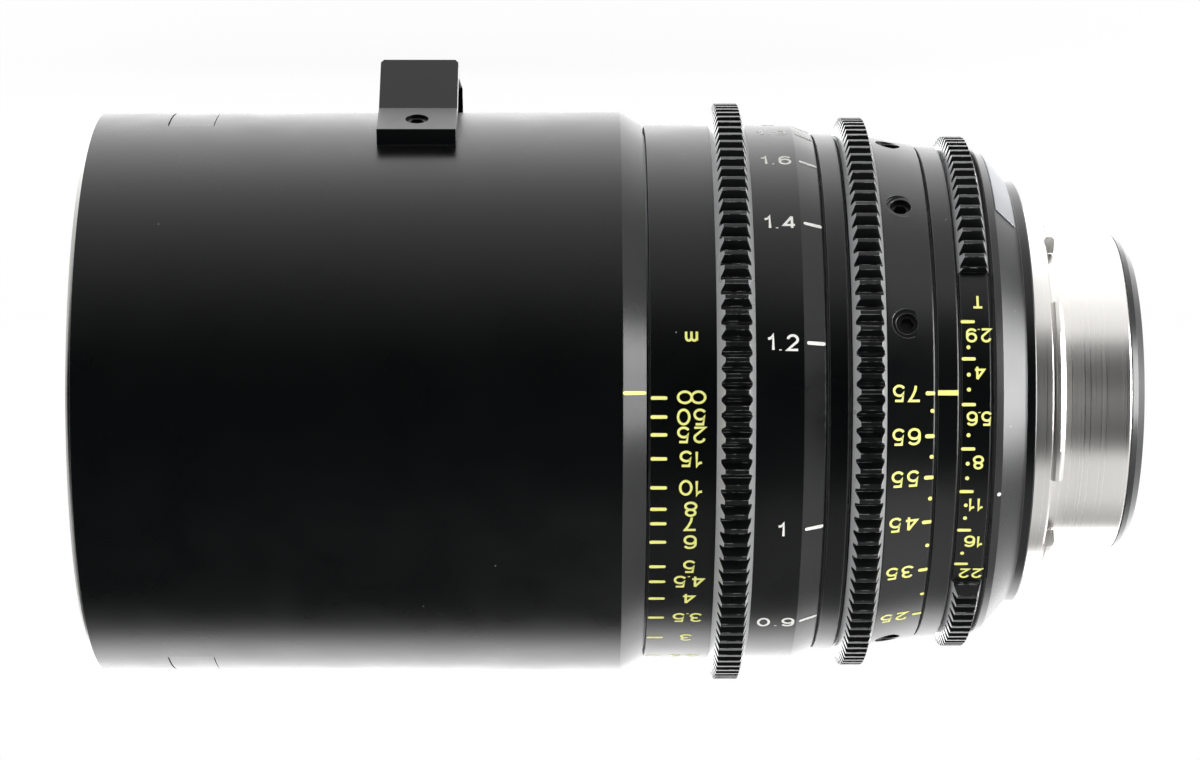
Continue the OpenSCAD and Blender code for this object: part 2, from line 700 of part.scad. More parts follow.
rear_rim_wall = 2.2;
rear_step = 1.7;
rear_element_front = web_front + rear_flange - rear_lip;
rear_element_edge = 6;
last_element_edge = 4;
rear_element_rear = rear_element_front - rear_element_edge;
last_element_rear = rear_cell_rear + rear_seat_len;
last_element_front = last_element_rear + last_element_edge;
module rear_cell()
    color(black) turned([[rear_cell_rear, rear_glass_r], [rear_cell_rear, rear_cell_r], [web_front, rear_cell_r],
        [web_front, iris_chamber_r], [iris_base_rear, iris_chamber_r],
        [iris_base_rear, iris_chamber_r - rear_rim_wall], [web_front + rear_flange, iris_chamber_r - rear_rim_wall],
        [web_front + rear_flange, rear_glass_r - rear_step], [rear_element_front, rear_glass_r - rear_step],
        [rear_element_front, rear_glass_r], [rear_element_rear, rear_glass_r],
        [rear_element_rear, rear_glass_r - rear_step], [last_element_front, rear_glass_r - rear_step],
        [last_element_front, rear_glass_r]]);
rear_bulge = 2.5;
module rear_element() glass(rear_element_rear, rear_element_front, rear_glass_r, rear_bulge, rear_bulge / 2);
module last_element() glass(last_element_rear, last_element_front, rear_glass_r, -rear_bulge / 3, rear_bulge);
module rear_retaining_ring()
    color(black) tube(rear_cell_rear, last_element_rear, rear_glass_r - rear_step, rear_glass_r);

module iris_base()
    color(black) difference() {
        tube(iris_base_rear, iris_base_front, iris_open_r, iris_chamber_r);
        for (k = [0:blade_count - 1])
            across(iris_base_rear - overrun) rotate(k * 360 / blade_count) translate([pivot_r, 0])
                cylinder(h = iris_base_thick + 2 * overrun, r = pin_r + slide_clearance, $fn = hole_fn);
    }

// Focus ring and what turns with it

module focus_ring()
    color(black) turned([[focus_rear, sleeve_bore_r], [focus_rear, focus_rear_r - edge_break],
        [focus_rear + edge_break, focus_rear_r], [focus_rear + focus_cone_len, focus_r],
        [focus_front - edge_break, focus_r], [focus_front, focus_r - edge_break], [focus_front, sleeve_r],
        [sleeve_rear, sleeve_r], [sleeve_rear, sleeve_bore_r]]);

module focus_gear() color(black) ring_gear(focus_teeth, focus_gear_rear, focus_gear_len, focus_r);

module focus_cam_sleeve()
    color(plate_grey) difference() {
        tube(sleeve_rear, sleeve_front, sleeve_bore_r, sleeve_r);
        for (turn = roller_turns)
            winding_slot(focus_roller, focus_travel, turn, focus_throw, slot_r,
                sleeve_bore_r - overrun, sleeve_bore_r + groove_depth);
    }

// The three groups of glass that slide

cell_wall = 3.2;
pin_depth = 2.4;
cell_lip = 1.2;
module group_cell(rear, length, r, roller_station)
    color(black) difference() {
        turned([[rear, r - cell_wall - cell_lip], [rear, r], [rear + length, r], [rear + length, r - cell_wall],
            [rear + cell_lip, r - cell_wall], [rear + cell_lip, r - cell_wall - cell_lip]]);
        for (turn = roller_turns) peg(roller_station, turn, r - pin_depth, r + overrun, roller_head_r);
    }
module rollers(station, r, top)
    color(brass) for (turn = roller_turns) {
        peg(station, turn, r - pin_depth, r, roller_head_r);
        peg(station, turn, r, top, roller_r);
    }

focus_glass_r = focus_cell_r - cell_wall;
focus_glass_rear = focus_cell_rear + cell_lip;
focus_glass_edge = 4.5;
focus_ring_len = 2.4;
focus_bulge = 2;
focus_glass_joint = focus_glass_rear + focus_glass_edge;
focus_glass_front = focus_cell_rear + focus_cell_len - focus_ring_len;
module focus_cell() group_cell(focus_cell_rear, focus_cell_len, focus_cell_r, focus_roller);
module focus_rear_element()
    glass(focus_glass_rear, focus_glass_joint, focus_glass_r, 0, -focus_bulge);
module focus_front_element()
    glass(focus_glass_joint, focus_glass_front, focus_glass_r, focus_bulge, focus_bulge);
module focus_retaining_ring()
    color(black) tube(focus_glass_front, focus_cell_rear + focus_cell_len, focus_glass_r - cell_lip, focus_glass_r);
module focus_rollers() rollers(focus_roller, focus_cell_r, sleeve_bore_r + groove_depth - 2 * seat_clearance);

var_glass_r = zoom_cell_r - cell_wall;
var_glass_rear = var_rear + cell_lip;
var_dish = 2;
module variator_cell() group_cell(var_rear, var_cell_len, zoom_cell_r, var_roller);
module variator_element()
    glass(var_glass_rear, var_rear + var_cell_len - cell_lip, var_glass_r, -var_dish, -var_dish);
module variator_ring()
    color(black) tube(var_rear + var_cell_len - cell_lip, var_rear + var_cell_len, var_glass_r - cell_lip, var_glass_r);
module variator_rollers() rollers(var_roller, zoom_cell_r, cam_r);

comp_bulge = 2;
module compensator_cell() group_cell(comp_rear, comp_cell_len, zoom_cell_r, comp_roller);
module compensator_element()
    glass(comp_rear + cell_lip, comp_rear + comp_cell_len - cell_lip, var_glass_r, comp_bulge / 2, comp_bulge);
module compensator_ring()
    color(black) tube(comp_rear + comp_cell_len - cell_lip, comp_rear + comp_cell_len, var_glass_r - cell_lip, var_glass_r);
module compensator_rollers() rollers(comp_roller, zoom_cell_r, cam_r);

// Zoom ring and what turns with it

module key_block(grow)
    outward(key_rear - grow, key_turn) translate([0, -key_w / 2 - grow, cam_bore_r + seat_clearance])
        cube([key_len + 2 * grow, key_w + 2 * grow, key_top_r - cam_bore_r - seat_clearance]);
module zoom_ring()
    color(black) difference() {
        turned([[zoom_rear, zoom_bore_r], [zoom_rear, zoom_rear_r - edge_break],
            [zoom_rear + edge_break, zoom_rear_r], [zoom_gear_rear - edge_break, zoom_r],
            [zoom_front - edge_break, zoom_r], [zoom_front, zoom_r - edge_break], [zoom_front, zoom_bore_r]]);
        key_block(0);
        for (i = [0:lever_count - 1]) {
            peg(lever_mid, lever_first + i * lever_step, lever_floor_r, zoom_r + overrun, lever_hole_r);
            peg(lever_mid, lever_first + i * lever_step, lever_mouth_floor_r, zoom_r + overrun, lever_hole_mouth_r);
        }
    }

module zoom_gear() color(black) ring_gear(zoom_teeth, zoom_gear_rear, zoom_gear_len, zoom_r);

lever_plug = 1.7;
lever_socket = 2;
module lever_plugs()
    color(black) for (i = [0:lever_count - 1]) difference() {
        peg(lever_mid, lever_first + i * lever_step, lever_floor_r, lever_floor_r + lever_plug, lever_hole_r);
        hex_socket(lever_mid, lever_first + i * lever_step, lever_floor_r + lever_plug / 3,
            lever_floor_r + lever_plug + overrun, lever_socket);
    }

module zoom_key() color(brass) key_block(0);

module zoom_cam_barrel()
    color(plate_grey) difference() {
        tube(cam_room_rear + seat_clearance, cam_room_front - seat_clearance, cam_bore_r, cam_r);
        key_block(0);
        for (turn = roller_turns) {
            winding_slot(var_roller, variator_travel, turn, zoom_throw, slot_r,
                cam_bore_r - overrun, cam_r + overrun);
            winding_slot(comp_roller, -compensator_travel, turn, zoom_throw, slot_r,
                cam_bore_r - overrun, cam_r + overrun);
        }
    }

// Iris ring and what turns with it

iris_side = 0.3;
module iris_ring()
    color(black) difference() {
        union() {
            tube(iris_rear, iris_front, iris_bearing_r + running_clearance, iris_seat_r);
            turned_part(iris_land_from, iris_land_turn,
                [[iris_rear + iris_side, iris_seat_r - iris_side],
                 [iris_rear + iris_side, iris_scale_r - edge_break], [iris_rear + iris_side + edge_break, iris_scale_r],
                 [iris_front - edge_break, iris_scale_r], [iris_front, iris_scale_r - edge_break],
                 [iris_front, iris_seat_r - iris_side]]);
        }
        peg(link_mid, link_turn, iris_bearing_r - overrun, iris_bearing_r + link_reach, link_r);
    }

module iris_gear()
    color(black) difference() {
        ring_gear(iris_teeth, iris_rear, iris_len, iris_seat_r);
        turned_part(iris_land_from, iris_land_turn,
            [[iris_rear - overrun, iris_seat_r - overrun], [iris_rear - overrun, tip_r(iris_teeth) + overrun],
             [iris_front + overrun, tip_r(iris_teeth) + overrun], [iris_front + overrun, iris_seat_r - overrun]]);
    }

module iris_link()
    color(brass) peg(link_mid, link_turn, drive_r - link_reach, iris_bearing_r + link_reach, link_r);

// Where a blade's drive pin stands when the blade has swung in by a share of its swing
drive_r = iris_chamber_r - running_clearance;
function pin_at(share) = let (a = 90 - blade_swing / 2 + blade_swing * share)
    [pivot_r + pin_arm * cos(a), pin_arm * sin(a)];
function turned_by(p, a) = [p[0] * cos(a) - p[1] * sin(a), p[0] * sin(a) + p[1] * cos(a)];
iris_throw = iris_open_turn + iris_close_turn;
function slot_at(share) = turned_by(pin_at(share), iris_open_turn - iris_throw * share);
slot_steps = 12;
slot_spare_share = 0.02;
function slot_share(i) = -slot_spare_share + (1 + 2 * slot_spare_share) * i / slot_steps;
// A point of the slot's wall, at an angle from the way that the pin moves
function slot_wall(share, angle) =
    let (d = slot_at(share + slot_spare_share) - slot_at(share - slot_spare_share), way = atan2(d[1], d[0]) + angle)
    slot_at(share) + (pin_r + pin_clearance) * [cos(way), sin(way)];
module drive_slot()
    polygon(concat([for (i = [0:slot_steps]) slot_wall(slot_share(i), 90)],
        [for (angle = [60:-30:-60]) slot_wall(slot_share(slot_steps), angle)],
        [for (i = [slot_steps:-1:0]) slot_wall(slot_share(i), -90)],
        [for (angle = [-120:-30:-240]) slot_wall(slot_share(0), angle)]));
drive_bore = 21;
module iris_drive_ring()
    color(plate_grey) difference() {
        across(drive_rear) linear_extrude(drive_thick) difference() {
            circle(r = drive_r, $fn = turn_fn);
            circle(r = drive_bore, $fn = turn_fn);
            for (k = [0:blade_count - 1]) rotate(k * 360 / blade_count) drive_slot();
        }
        peg(link_mid, link_turn, drive_r - link_reach, drive_r + overrun, link_r);
    }

blade_from = -5;
blade_to = 86;
blade_eye_r = 1.5;
module blade_outline() {
    polygon(sector(blade_inner_r, blade_outer_r, blade_from, blade_to, blade_arc_steps));
    translate(turned_by([(blade_inner_r + blade_outer_r) / 2, 0], blade_to))
        circle(r = (blade_outer_r - blade_inner_r) / 2, $fn = hole_fn);
    for (p = [[pivot_r, 0], pin_at(0)]) {
        translate(p) circle(r = blade_eye_r, $fn = hole_fn);
        rotate(atan2(p[1], p[0])) translate([blade_outer_r - blade_eye_r, -blade_eye_r])
            square([norm(p) - blade_outer_r + blade_eye_r, 2 * blade_eye_r]);
    }
}
module iris_blade(k) {
    plane = blade_rear + k * blade_pitch;
    color("#2b2c2e") across(0) rotate(k * 360 / blade_count)
        translate([pivot_r, 0]) rotate(blade_rest) translate([-pivot_r, 0]) {
            translate([0, 0, plane]) linear_extrude(blade_thick) blade_outline();
            translate([pivot_r, 0, iris_base_rear + edge_break / 2])
                cylinder(h = plane - iris_base_rear, r = pin_r, $fn = hole_fn);
            translate([pin_at(0)[0], pin_at(0)[1], plane + blade_thick / 2])
                cylinder(h = drive_front - edge_break - plane, r = pin_r, $fn = hole_fn);
        }
}

filter_ring();
front_barrel();
bottom_badge();
top_badge();
support_foot();
foot_screws();
barrel_adapter();
front_retaining_ring();
front_cell();
front_element();
second_element();
front_spacer();
main_tube();
guide_tube();
index_ring();
rear_housing();
serial_plate();
flange_shim();
lens_mount();
mount_screws();
rear_ring();
rear_cell();
rear_element();
last_element();
rear_retaining_ring();
iris_base();
focus_ring();
focus_gear();
focus_cam_sleeve();
focus_cell();
focus_rear_element();
focus_front_element();
focus_retaining_ring();
focus_rollers();
zoom_ring();
zoom_gear();
lever_plugs();
zoom_key();
zoom_cam_barrel();
variator_cell();
variator_element();
variator_ring();
variator_rollers();
compensator_cell();
compensator_element();
compensator_ring();
compensator_rollers();
iris_ring();
iris_gear();
iris_link();
iris_drive_ring();
iris_blade(0);  // iris_blade_1
iris_blade(1);  // iris_blade_2
iris_blade(2);  // iris_blade_3
iris_blade(3);  // iris_blade_4
iris_blade(4);  // iris_blade_5
iris_blade(5);  // iris_blade_6
iris_blade(6);  // iris_blade_7
iris_blade(7);  // iris_blade_8
iris_blade(8);  // iris_blade_9
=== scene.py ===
"""Looks of a cinema zoom lens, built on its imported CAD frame.

The optical axis is X, the front of the lens looks along +X and the support foot
is at -Z. A turn is an angle about +X in degrees: 0 is the side that faces the
camera, at -Y, and 90 is the foot's side. Lengths are in millimetres here and
become metres where a mesh is made.
"""

import json
import logging
import math
from dataclasses import dataclass, field
from enum import Enum

import bmesh
import bpy
from bmesh.types import BMesh, BMVert
from bpy.types import ID, Material, Mesh, Node, NodeSocket, NodeTree, Object
from mathutils import Matrix, Vector

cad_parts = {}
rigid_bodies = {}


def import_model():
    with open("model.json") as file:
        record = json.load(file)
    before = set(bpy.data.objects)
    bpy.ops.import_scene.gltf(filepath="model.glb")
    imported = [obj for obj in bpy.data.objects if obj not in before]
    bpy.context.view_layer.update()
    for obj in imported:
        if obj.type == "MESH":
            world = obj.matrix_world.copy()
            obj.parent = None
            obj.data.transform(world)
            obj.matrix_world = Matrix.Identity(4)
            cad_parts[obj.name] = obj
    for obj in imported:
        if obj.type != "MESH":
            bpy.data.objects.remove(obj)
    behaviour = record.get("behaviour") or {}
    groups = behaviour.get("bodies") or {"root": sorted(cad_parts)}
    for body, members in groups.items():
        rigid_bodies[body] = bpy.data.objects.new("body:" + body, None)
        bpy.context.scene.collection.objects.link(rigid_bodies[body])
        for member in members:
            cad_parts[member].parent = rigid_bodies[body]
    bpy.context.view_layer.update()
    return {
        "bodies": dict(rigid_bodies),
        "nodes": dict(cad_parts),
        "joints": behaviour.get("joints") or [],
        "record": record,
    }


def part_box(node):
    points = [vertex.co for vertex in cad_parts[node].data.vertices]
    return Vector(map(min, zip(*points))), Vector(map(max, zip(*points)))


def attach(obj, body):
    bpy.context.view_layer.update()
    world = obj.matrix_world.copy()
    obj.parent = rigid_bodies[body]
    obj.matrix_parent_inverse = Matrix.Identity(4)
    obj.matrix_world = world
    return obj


LOG = logging.getLogger("lens")
MM = 0.001


def linear(code: str) -> tuple[float, float, float, float]:
    """Turn an sRGB hex colour into a linear one.

    Args:
        code: Colour such as "#1a1b1c".

    Returns:
        Red, green, blue and alpha from 0 to 1.
    """
    shares = [int(code[i:i + 2], 16) / 255 for i in (1, 3, 5)]
    curve = [s / 12.92 if s <= 0.04045 else ((s + 0.055) / 1.055) ** 2.4 for s in shares]
    return curve[0], curve[1], curve[2], 1.0


def add(tree: NodeTree, kind: str, settings: dict, links: dict) -> Node:
    """Add one node, set it up and link its inputs.

    Args:
        tree: Node tree that the node goes into.
        kind: Type of the node, such as "Mix".
        settings: Values by name, of the node itself or of its inputs.
        links: Output sockets, or nodes for their first output, by the input that they feed.

    Returns:
        The new node.
    """
    node = tree.nodes.new("ShaderNode" + kind)
    for name, value in settings.items():
        if isinstance(name, str) and hasattr(node, name):
            setattr(node, name, value)
        else:
            node.inputs[name].default_value = value
    for name, source in links.items():
        tree.links.new(source.outputs[0] if isinstance(source, Node) else source, node.inputs[name])
    return node


def stand(name: str, data: ID) -> Object:
    """Put a new object into the scene.

    Args:
        name: Name of the object.
        data: Its mesh, camera or light.

    Returns:
        The new object.
    """
    made = bpy.data.objects.new(name, data)
    bpy.context.scene.collection.objects.link(made)
    return made


def to_mesh(name: str, piece: BMesh) -> Mesh:
    """Turn an edited mesh into one that an object can hold, and free it.

    Args:
        name: Name of the new mesh.
        piece: The edited mesh.

    Returns:
        The new mesh.
    """
    made = bpy.data.meshes.new(name)
    piece.to_mesh(made)
    piece.free()
    return made


def per_metre(size_mm: float) -> float:
    """Return the texture scale at which a feature measures size_mm."""
    return 1 / (size_mm * MM)


class Tint(Enum):
    """Colours of the filled engraving."""

    LIME = "#f0f08a"
    WHITE = "#ecebe6"


@dataclass(frozen=True)
class Finish:
    """Surface of one real material."""

    name: str
    colour: str
    metallic: float = 0.0  # 1 for a bare metal, 0 for a film of oxide or paint
    roughness: float = 0.4
    round_mm: float = 0.12  # radius that the light sees on a crisp edge
    grain_mm: float = 0.5  # size of the grain, drawn coarser than the real one so that it shows
    grain_depth_mm: float = 0.003  # height of that grain
    noise_span: tuple[float, float] = (0.3, 0.7)  # lowest and highest value that a noise mostly has
    patch_grains: float = 20.0  # width of a rougher patch, in grains
    bevel_rays: int = 4  # rays that look for an edge
    # roughness of the smoothest and the roughest patch, as shares of the whole surface's
    patch_shares: tuple[float, float] = (0.9, 1.1)

    def start(self) -> tuple[Material, NodeTree, Node]:
        """Make the material with its shader set to the plain values.

        Returns:
            The material, its node tree and its shader node.
        """
        made = bpy.data.materials.new(self.name)
        made.use_nodes = True
        tree = made.node_tree
        shader = tree.nodes["Principled BSDF"]
        shader.inputs["Base Color"].default_value = linear(self.colour)
        shader.inputs["Metallic"].default_value = self.metallic
        shader.inputs["Roughness"].default_value = self.roughness
        return made, tree, shader

    def grain(self, tree: NodeTree, size_mm: float, detail: float = 2.0) -> Node:
        """Return a grain of a real size that stays with the piece.

        Args:
            tree: Node tree of the material.
            size_mm: Size of the grain.
            detail: How many finer grains lie on it.

        Returns:
            Its height from 0 to 1.
        """
        place = add(tree, "TexCoord", {}, {})
        return add(tree, "TexNoise", {"Scale": per_metre(size_mm), "Detail": detail},
                   {"Vector": place.outputs["Object"]})

    def rounded(self, tree: NodeTree) -> Node:
        """Return the normal that softens crisp edges."""
        return add(tree, "Bevel", {"samples": self.bevel_rays, "Radius": self.round_mm * MM}, {})

    def flatness(self, tree: NodeTree) -> NodeSocket:
        """Compare the softened normal with the flat one.

        Args:
            tree: Node tree of the material.

        Returns:
            The cosine between them, which falls on an edge.
        """
        flat = add(tree, "NewGeometry", {}, {}).outputs["True Normal"]
        return add(tree, "VectorMath", {"operation": "DOT_PRODUCT"},
                   {0: self.rounded(tree), 1: flat}).outputs["Value"]

    def roughen(self, tree: NodeTree, height: Node, patches: Node, shares: tuple[float, float]) -> None:
        """Give the shader its relief and its uneven roughness.

        Args:
            tree: Node tree of the material.
            height: Relief of the grain or of the tool's rings.
            patches: Noise that the roughness follows.
            shares: Roughness at the noise's ends, as shares of the whole surface's.
        """
        shader = tree.nodes["Principled BSDF"]
        bump = add(tree, "Bump", {"Strength": 1.0, "Distance": self.grain_depth_mm * MM},
                   {"Height": height, "Normal": self.rounded(tree)})
        tree.links.new(bump.outputs["Normal"], shader.inputs["Normal"])
        low, high = self.noise_span
        smooth, rough = (self.roughness * share for share in shares)
        uneven = add(tree, "MapRange", {"From Min": low, "From Max": high, "To Min": smooth,
                                        "To Max": rough}, {"Value": patches})
        tree.links.new(uneven.outputs["Result"], shader.inputs["Roughness"])

    def material(self) -> Material:
        """Build the finish: an even surface with its grain.

        Returns:
            The finished material.
        """
        made, tree, _ = self.start()
        patches = self.grain(tree, self.patch_grains * self.grain_mm)
        self.roughen(tree, self.grain(tree, self.grain_mm), patches, self.patch_shares)
        return made


@dataclass(frozen=True)
class AnodisedAluminium(Finish):
    """Bead-blasted aluminium, anodised a dense satin black, with specks of dust and a painted highlight on
    its edges.
    """

    dust_cell_mm: float = 7.0  # mean distance between two specks of dust
    speck_mm: float = 0.14  # radius of a speck
    speck_core: float = 0.6  # share of a speck's radius that is solid
    dust_colour: str = "#8d8c88"
    oxide_index: float = 1.45  # refractive index of the anodic film
    bloom: float = 0.12  # sheen of its pores, seen at a flat angle
    bloom_roughness: float = 0.3
    edge_highlight_colour: str = "#9a9b9d"  # pale colour of the painted highlight on an edge
    edge_highlight_share: float = 0.45  # strength of that painted highlight, which is also its metallic share
    edge_highlight_from: float = 0.97  # flatness at which the painted edge highlight starts
    edge_highlight_to: float = 0.88  # flatness at which that painted highlight is full

    def material(self) -> Material:
        """Build the finish: the plain black with dust on it and painted highlights on its edges.

        Returns:
            The finished material.
        """
        made = super().material()
        tree = made.node_tree
        shader = tree.nodes["Principled BSDF"]
        place = add(tree, "TexCoord", {}, {})
        cells = add(tree, "TexVoronoi", {"Scale": per_metre(self.dust_cell_mm)},
                    {"Vector": place.outputs["Object"]})
        reach_share = self.speck_mm / self.dust_cell_mm
        speck = add(tree, "MapRange", {"From Min": reach_share, "From Max": self.speck_core * reach_share},
                    {"Value": cells.outputs["Distance"]})
        dusty = add(tree, "Mix", {"data_type": "RGBA", 6: linear(self.colour), 7: linear(self.dust_colour)},
                    {0: speck})
        # painted highlight: crisp edges are lightened towards a pale grey and made partly metallic
        edge = add(tree, "MapRange",
                   {"From Min": self.edge_highlight_from, "From Max": self.edge_highlight_to, "To Max": self.edge_highlight_share},
                   {"Value": self.flatness(tree)}).outputs["Result"]
        mixed = add(tree, "Mix", {"data_type": "RGBA", 7: linear(self.edge_highlight_colour)},
                    {0: edge, 6: dusty.outputs[2]})
        tree.links.new(mixed.outputs[2], shader.inputs["Base Color"])
        tree.links.new(edge, shader.inputs["Metallic"])
        shader.inputs["IOR"].default_value = self.oxide_index
        shader.inputs["Sheen Weight"].default_value = self.bloom
        shader.inputs["Sheen Roughness"].default_value = self.bloom_roughness
        return made


@dataclass(frozen=True)
class MilledTeeth(Finish):
    """Milled aluminium teeth, anodised: glossier than the barrel, with painted glints on the corners and a
    painted reflection on the sides.
    """

    painted_glint_colour: str = "#e4e5e6"  # near-white colour of the painted glints on the corners and of the painted reflection on the sides
    shine: float = 0.35  # metallic share of those painted places, which keep the rest as their pale colour
    rear_reflection: float = 0.4  # strength of the painted reflection on the sides that face the mount, which keep some black
    side_from: float = 0.5  # share of the normal along the axis at which a face starts to be a gear's side
    side_to: float = 0.6  # share at which it is one
    glint_from: float = 0.93  # flatness at which a corner's painted glint starts
    glint_to: float = 0.80  # flatness at which that painted glint is full
    patch_mm: float = 1.6
    patch_detail: float = 3.0  # how many finer patches lie on it
    # values of the patches' noise at which the painted glint starts and is full
    patch_span: tuple[float, float] = (0.48, 0.60)
    patch_glint: float = 0.8  # strength of the painted glint in a patch

    def corners(self, tree: NodeTree) -> Node:
        """Paint glints on the teeth's corners, patch by patch.

        Args:
            tree: Node tree of the material.

        Returns:
            How strong the painted glints are.
        """
        corner = add(tree, "MapRange", {"From Min": self.glint_from, "From Max": self.glint_to},
                     {"Value": self.flatness(tree)})
        none, full = self.patch_span
        patches = add(tree, "MapRange", {"From Min": none, "From Max": full, "To Max": self.patch_glint},
                      {"Value": self.grain(tree, self.patch_mm, self.patch_detail)})
        return add(tree, "Math", {"operation": "MULTIPLY"}, {0: corner, 1: patches})

    def sides(self, tree: NodeTree) -> Node:
        """Paint a reflection on the gears' sides, front and rear.

        Args:
            tree: Node tree of the material.

        Returns:
            How strong that painted reflection is.
        """
        flat = add(tree, "NewGeometry", {}, {}).outputs["True Normal"]
        along = add(tree, "SeparateXYZ", {}, {0: flat}).outputs["X"]
        front = add(tree, "MapRange", {"From Min": self.side_from, "From Max": self.side_to},
                    {"Value": along})
        rear = add(tree, "MapRange", {"From Min": -self.side_from, "From Max": -self.side_to,
                                      "To Max": self.rear_reflection}, {"Value": along})
        return add(tree, "Math", {"operation": "MAXIMUM"}, {0: front, 1: rear})

    def material(self) -> Material:
        """Build the finish: black crests and gaps, with painted glints on the corners and a painted
        reflection on the sides.

        Returns:
            The finished material.
        """
        made = super().material()
        tree = made.node_tree
        shader = tree.nodes["Principled BSDF"]
        # painted glints and painted reflection: these places are lightened towards near white and made partly
        # metallic
        bare = add(tree, "Math", {"operation": "MAXIMUM"}, {0: self.corners(tree), 1: self.sides(tree)})
        mixed = add(tree, "Mix", {"data_type": "RGBA", 6: linear(self.colour), 7: linear(self.painted_glint_colour)},
                    {0: bare})
        mirror = add(tree, "Math", {"operation": "MULTIPLY", 1: self.shine}, {0: bare})
        tree.links.new(mixed.outputs[2], shader.inputs["Base Color"])
        tree.links.new(mirror.outputs[0], shader.inputs["Metallic"])
        return made


@dataclass(frozen=True)
class TurnedMetal(Finish):
    """Metal turned on a lathe: fine rings round the axis that draw the light out along it."""

    groove_mm: float = 0.3  # pitch of the tool's rings, drawn coarser than the real one so that they show
    ring_stretch: float = 2.0  # scale across the rings' run, which is low so that they go nearly all round
    ring_detail: float = 3.0  # how many finer rings lie between them
    # roughness on the smoothest and the roughest ring, as shares of the whole surface's
    ring_shares: tuple[float, float] = (0.8, 1.25)
    stretch: float = 0.92  # how far the rings draw out a highlight
    highlight_turn: float = 0.25  # turn of the highlight, a quarter for across the rings

    def material(self) -> Material:
        """Build the finish: rings as bump and roughness, and a highlight across them.

        Returns:
            The finished material.
        """
        made, tree, shader = self.start()
        place = add(tree, "TexCoord", {}, {})
        along = add(tree, "Mapping",
                    {"Scale": (per_metre(self.groove_mm), self.ring_stretch, self.ring_stretch)},
                    {"Vector": place.outputs["Object"]})
        rings = add(tree, "TexNoise", {"Scale": 1.0, "Detail": self.ring_detail}, {"Vector": along})
        self.roughen(tree, rings, rings, self.ring_shares)
        tangent = add(tree, "Tangent", {"direction_type": "RADIAL", "axis": "X"}, {})
        tree.links.new(tangent.outputs["Tangent"], shader.inputs["Tangent"])
        shader.inputs["Anisotropic"].default_value = self.stretch
        shader.inputs["Anisotropic Rotation"].default_value = self.highlight_turn
        return made


@dataclass(frozen=True)
class CoatedGlass(Finish):
    """Polished optical glass with a thin coating that tints what it mirrors."""

    index: float = 1.55  # refractive index of the glass
    coating_nm: float = 105.0
    coating_index: float = 1.38

    def material(self) -> Material:
        """Build the finish: clear glass under its coating.

        Returns:
            The finished material.
        """
        made, _, shader = self.start()
        shader.inputs["Transmission Weight"].default_value = 1.0
        shader.inputs["IOR"].default_value = self.index
        shader.inputs["Thin Film Thickness"].default_value = self.coating_nm
        shader.inputs["Thin Film IOR"].default_value = self.coating_index
        return made


# Blasting and the anodic film give a deep black with a soft, wide highlight.
BARREL_BLACK = AnodisedAluminium("anodised_satin_black", "#060708", roughness=0.29, round_mm=0.15)
# The cutter leaves the teeth smoother than blasting does; their small, sharp glints are painted on the
# corners.
TEETH_BLACK = MilledTeeth("anodised_milled_teeth", "#0d0e0f", roughness=0.30, round_mm=0.18)
# Bare stainless steel mirrors the room in streaks across its turned rings.
TURNED_STEEL = TurnedMetal("turned_stainless_steel", "#f2f0ec", metallic=1.0, roughness=0.30, stretch=0.75)
# A bare aluminium rim is greyer and softer than the steel.
BARE_EDGE = TurnedMetal("bare_turned_aluminium", "#c4c4c2", metallic=1.0, roughness=0.35)
# The inside is matt, so that it swallows stray light.
INNER_BLACK = Finish("anodised_matt_black", "#0c0c0d", roughness=0.6)
# Turned aluminium that no one sees keeps its tool's marks.
INNER_GREY = TurnedMetal("turned_grey_aluminium", "#8b8d90", metallic=1.0, roughness=0.4)
# Brass bearings shine yellow and smooth.
TURNED_BRASS = TurnedMetal("turned_brass", "#b59350", metallic=1.0, roughness=0.3)
# The plate's foil is a flat, even grey.
PLATE_SATIN = Finish("satin_aluminium_foil", "#9c9da0", metallic=1.0, roughness=0.45)
# Oiled oxide leaves steel screws nearly black, with the metal just showing through.
BLACK_OXIDE = Finish("black_oxide_steel", "#1c1c1d", metallic=0.6, roughness=0.35, round_mm=0.08)
# Plain steel screws stand out bright.
BRIGHT_STEEL = Finish("bright_screw_steel", "#b5b4b1", metallic=1.0, roughness=0.3, round_mm=0.08)
# The blades' thin steel is blackened so that it doesn't mirror into the picture.
BLADE_STEEL = Finish("blackened_blade_steel", "#232326", metallic=0.5, roughness=0.42, round_mm=0.02)
# Polished glass shows its depth, with a faint tint where it mirrors.
GLASS = CoatedGlass("coated_optical_glass", "#ffffff", roughness=0.0)
# Enamel pressed into the engraving is flat and even.
LIME_PAINT = Finish("lime_engraving_paint", Tint.LIME.value, roughness=0.5, round_mm=0.02,
                    grain_depth_mm=0.001)
WHITE_PAINT = Finish("white_engraving_paint", Tint.WHITE.value, roughness=0.5, round_mm=0.02,
                     grain_depth_mm=0.001)


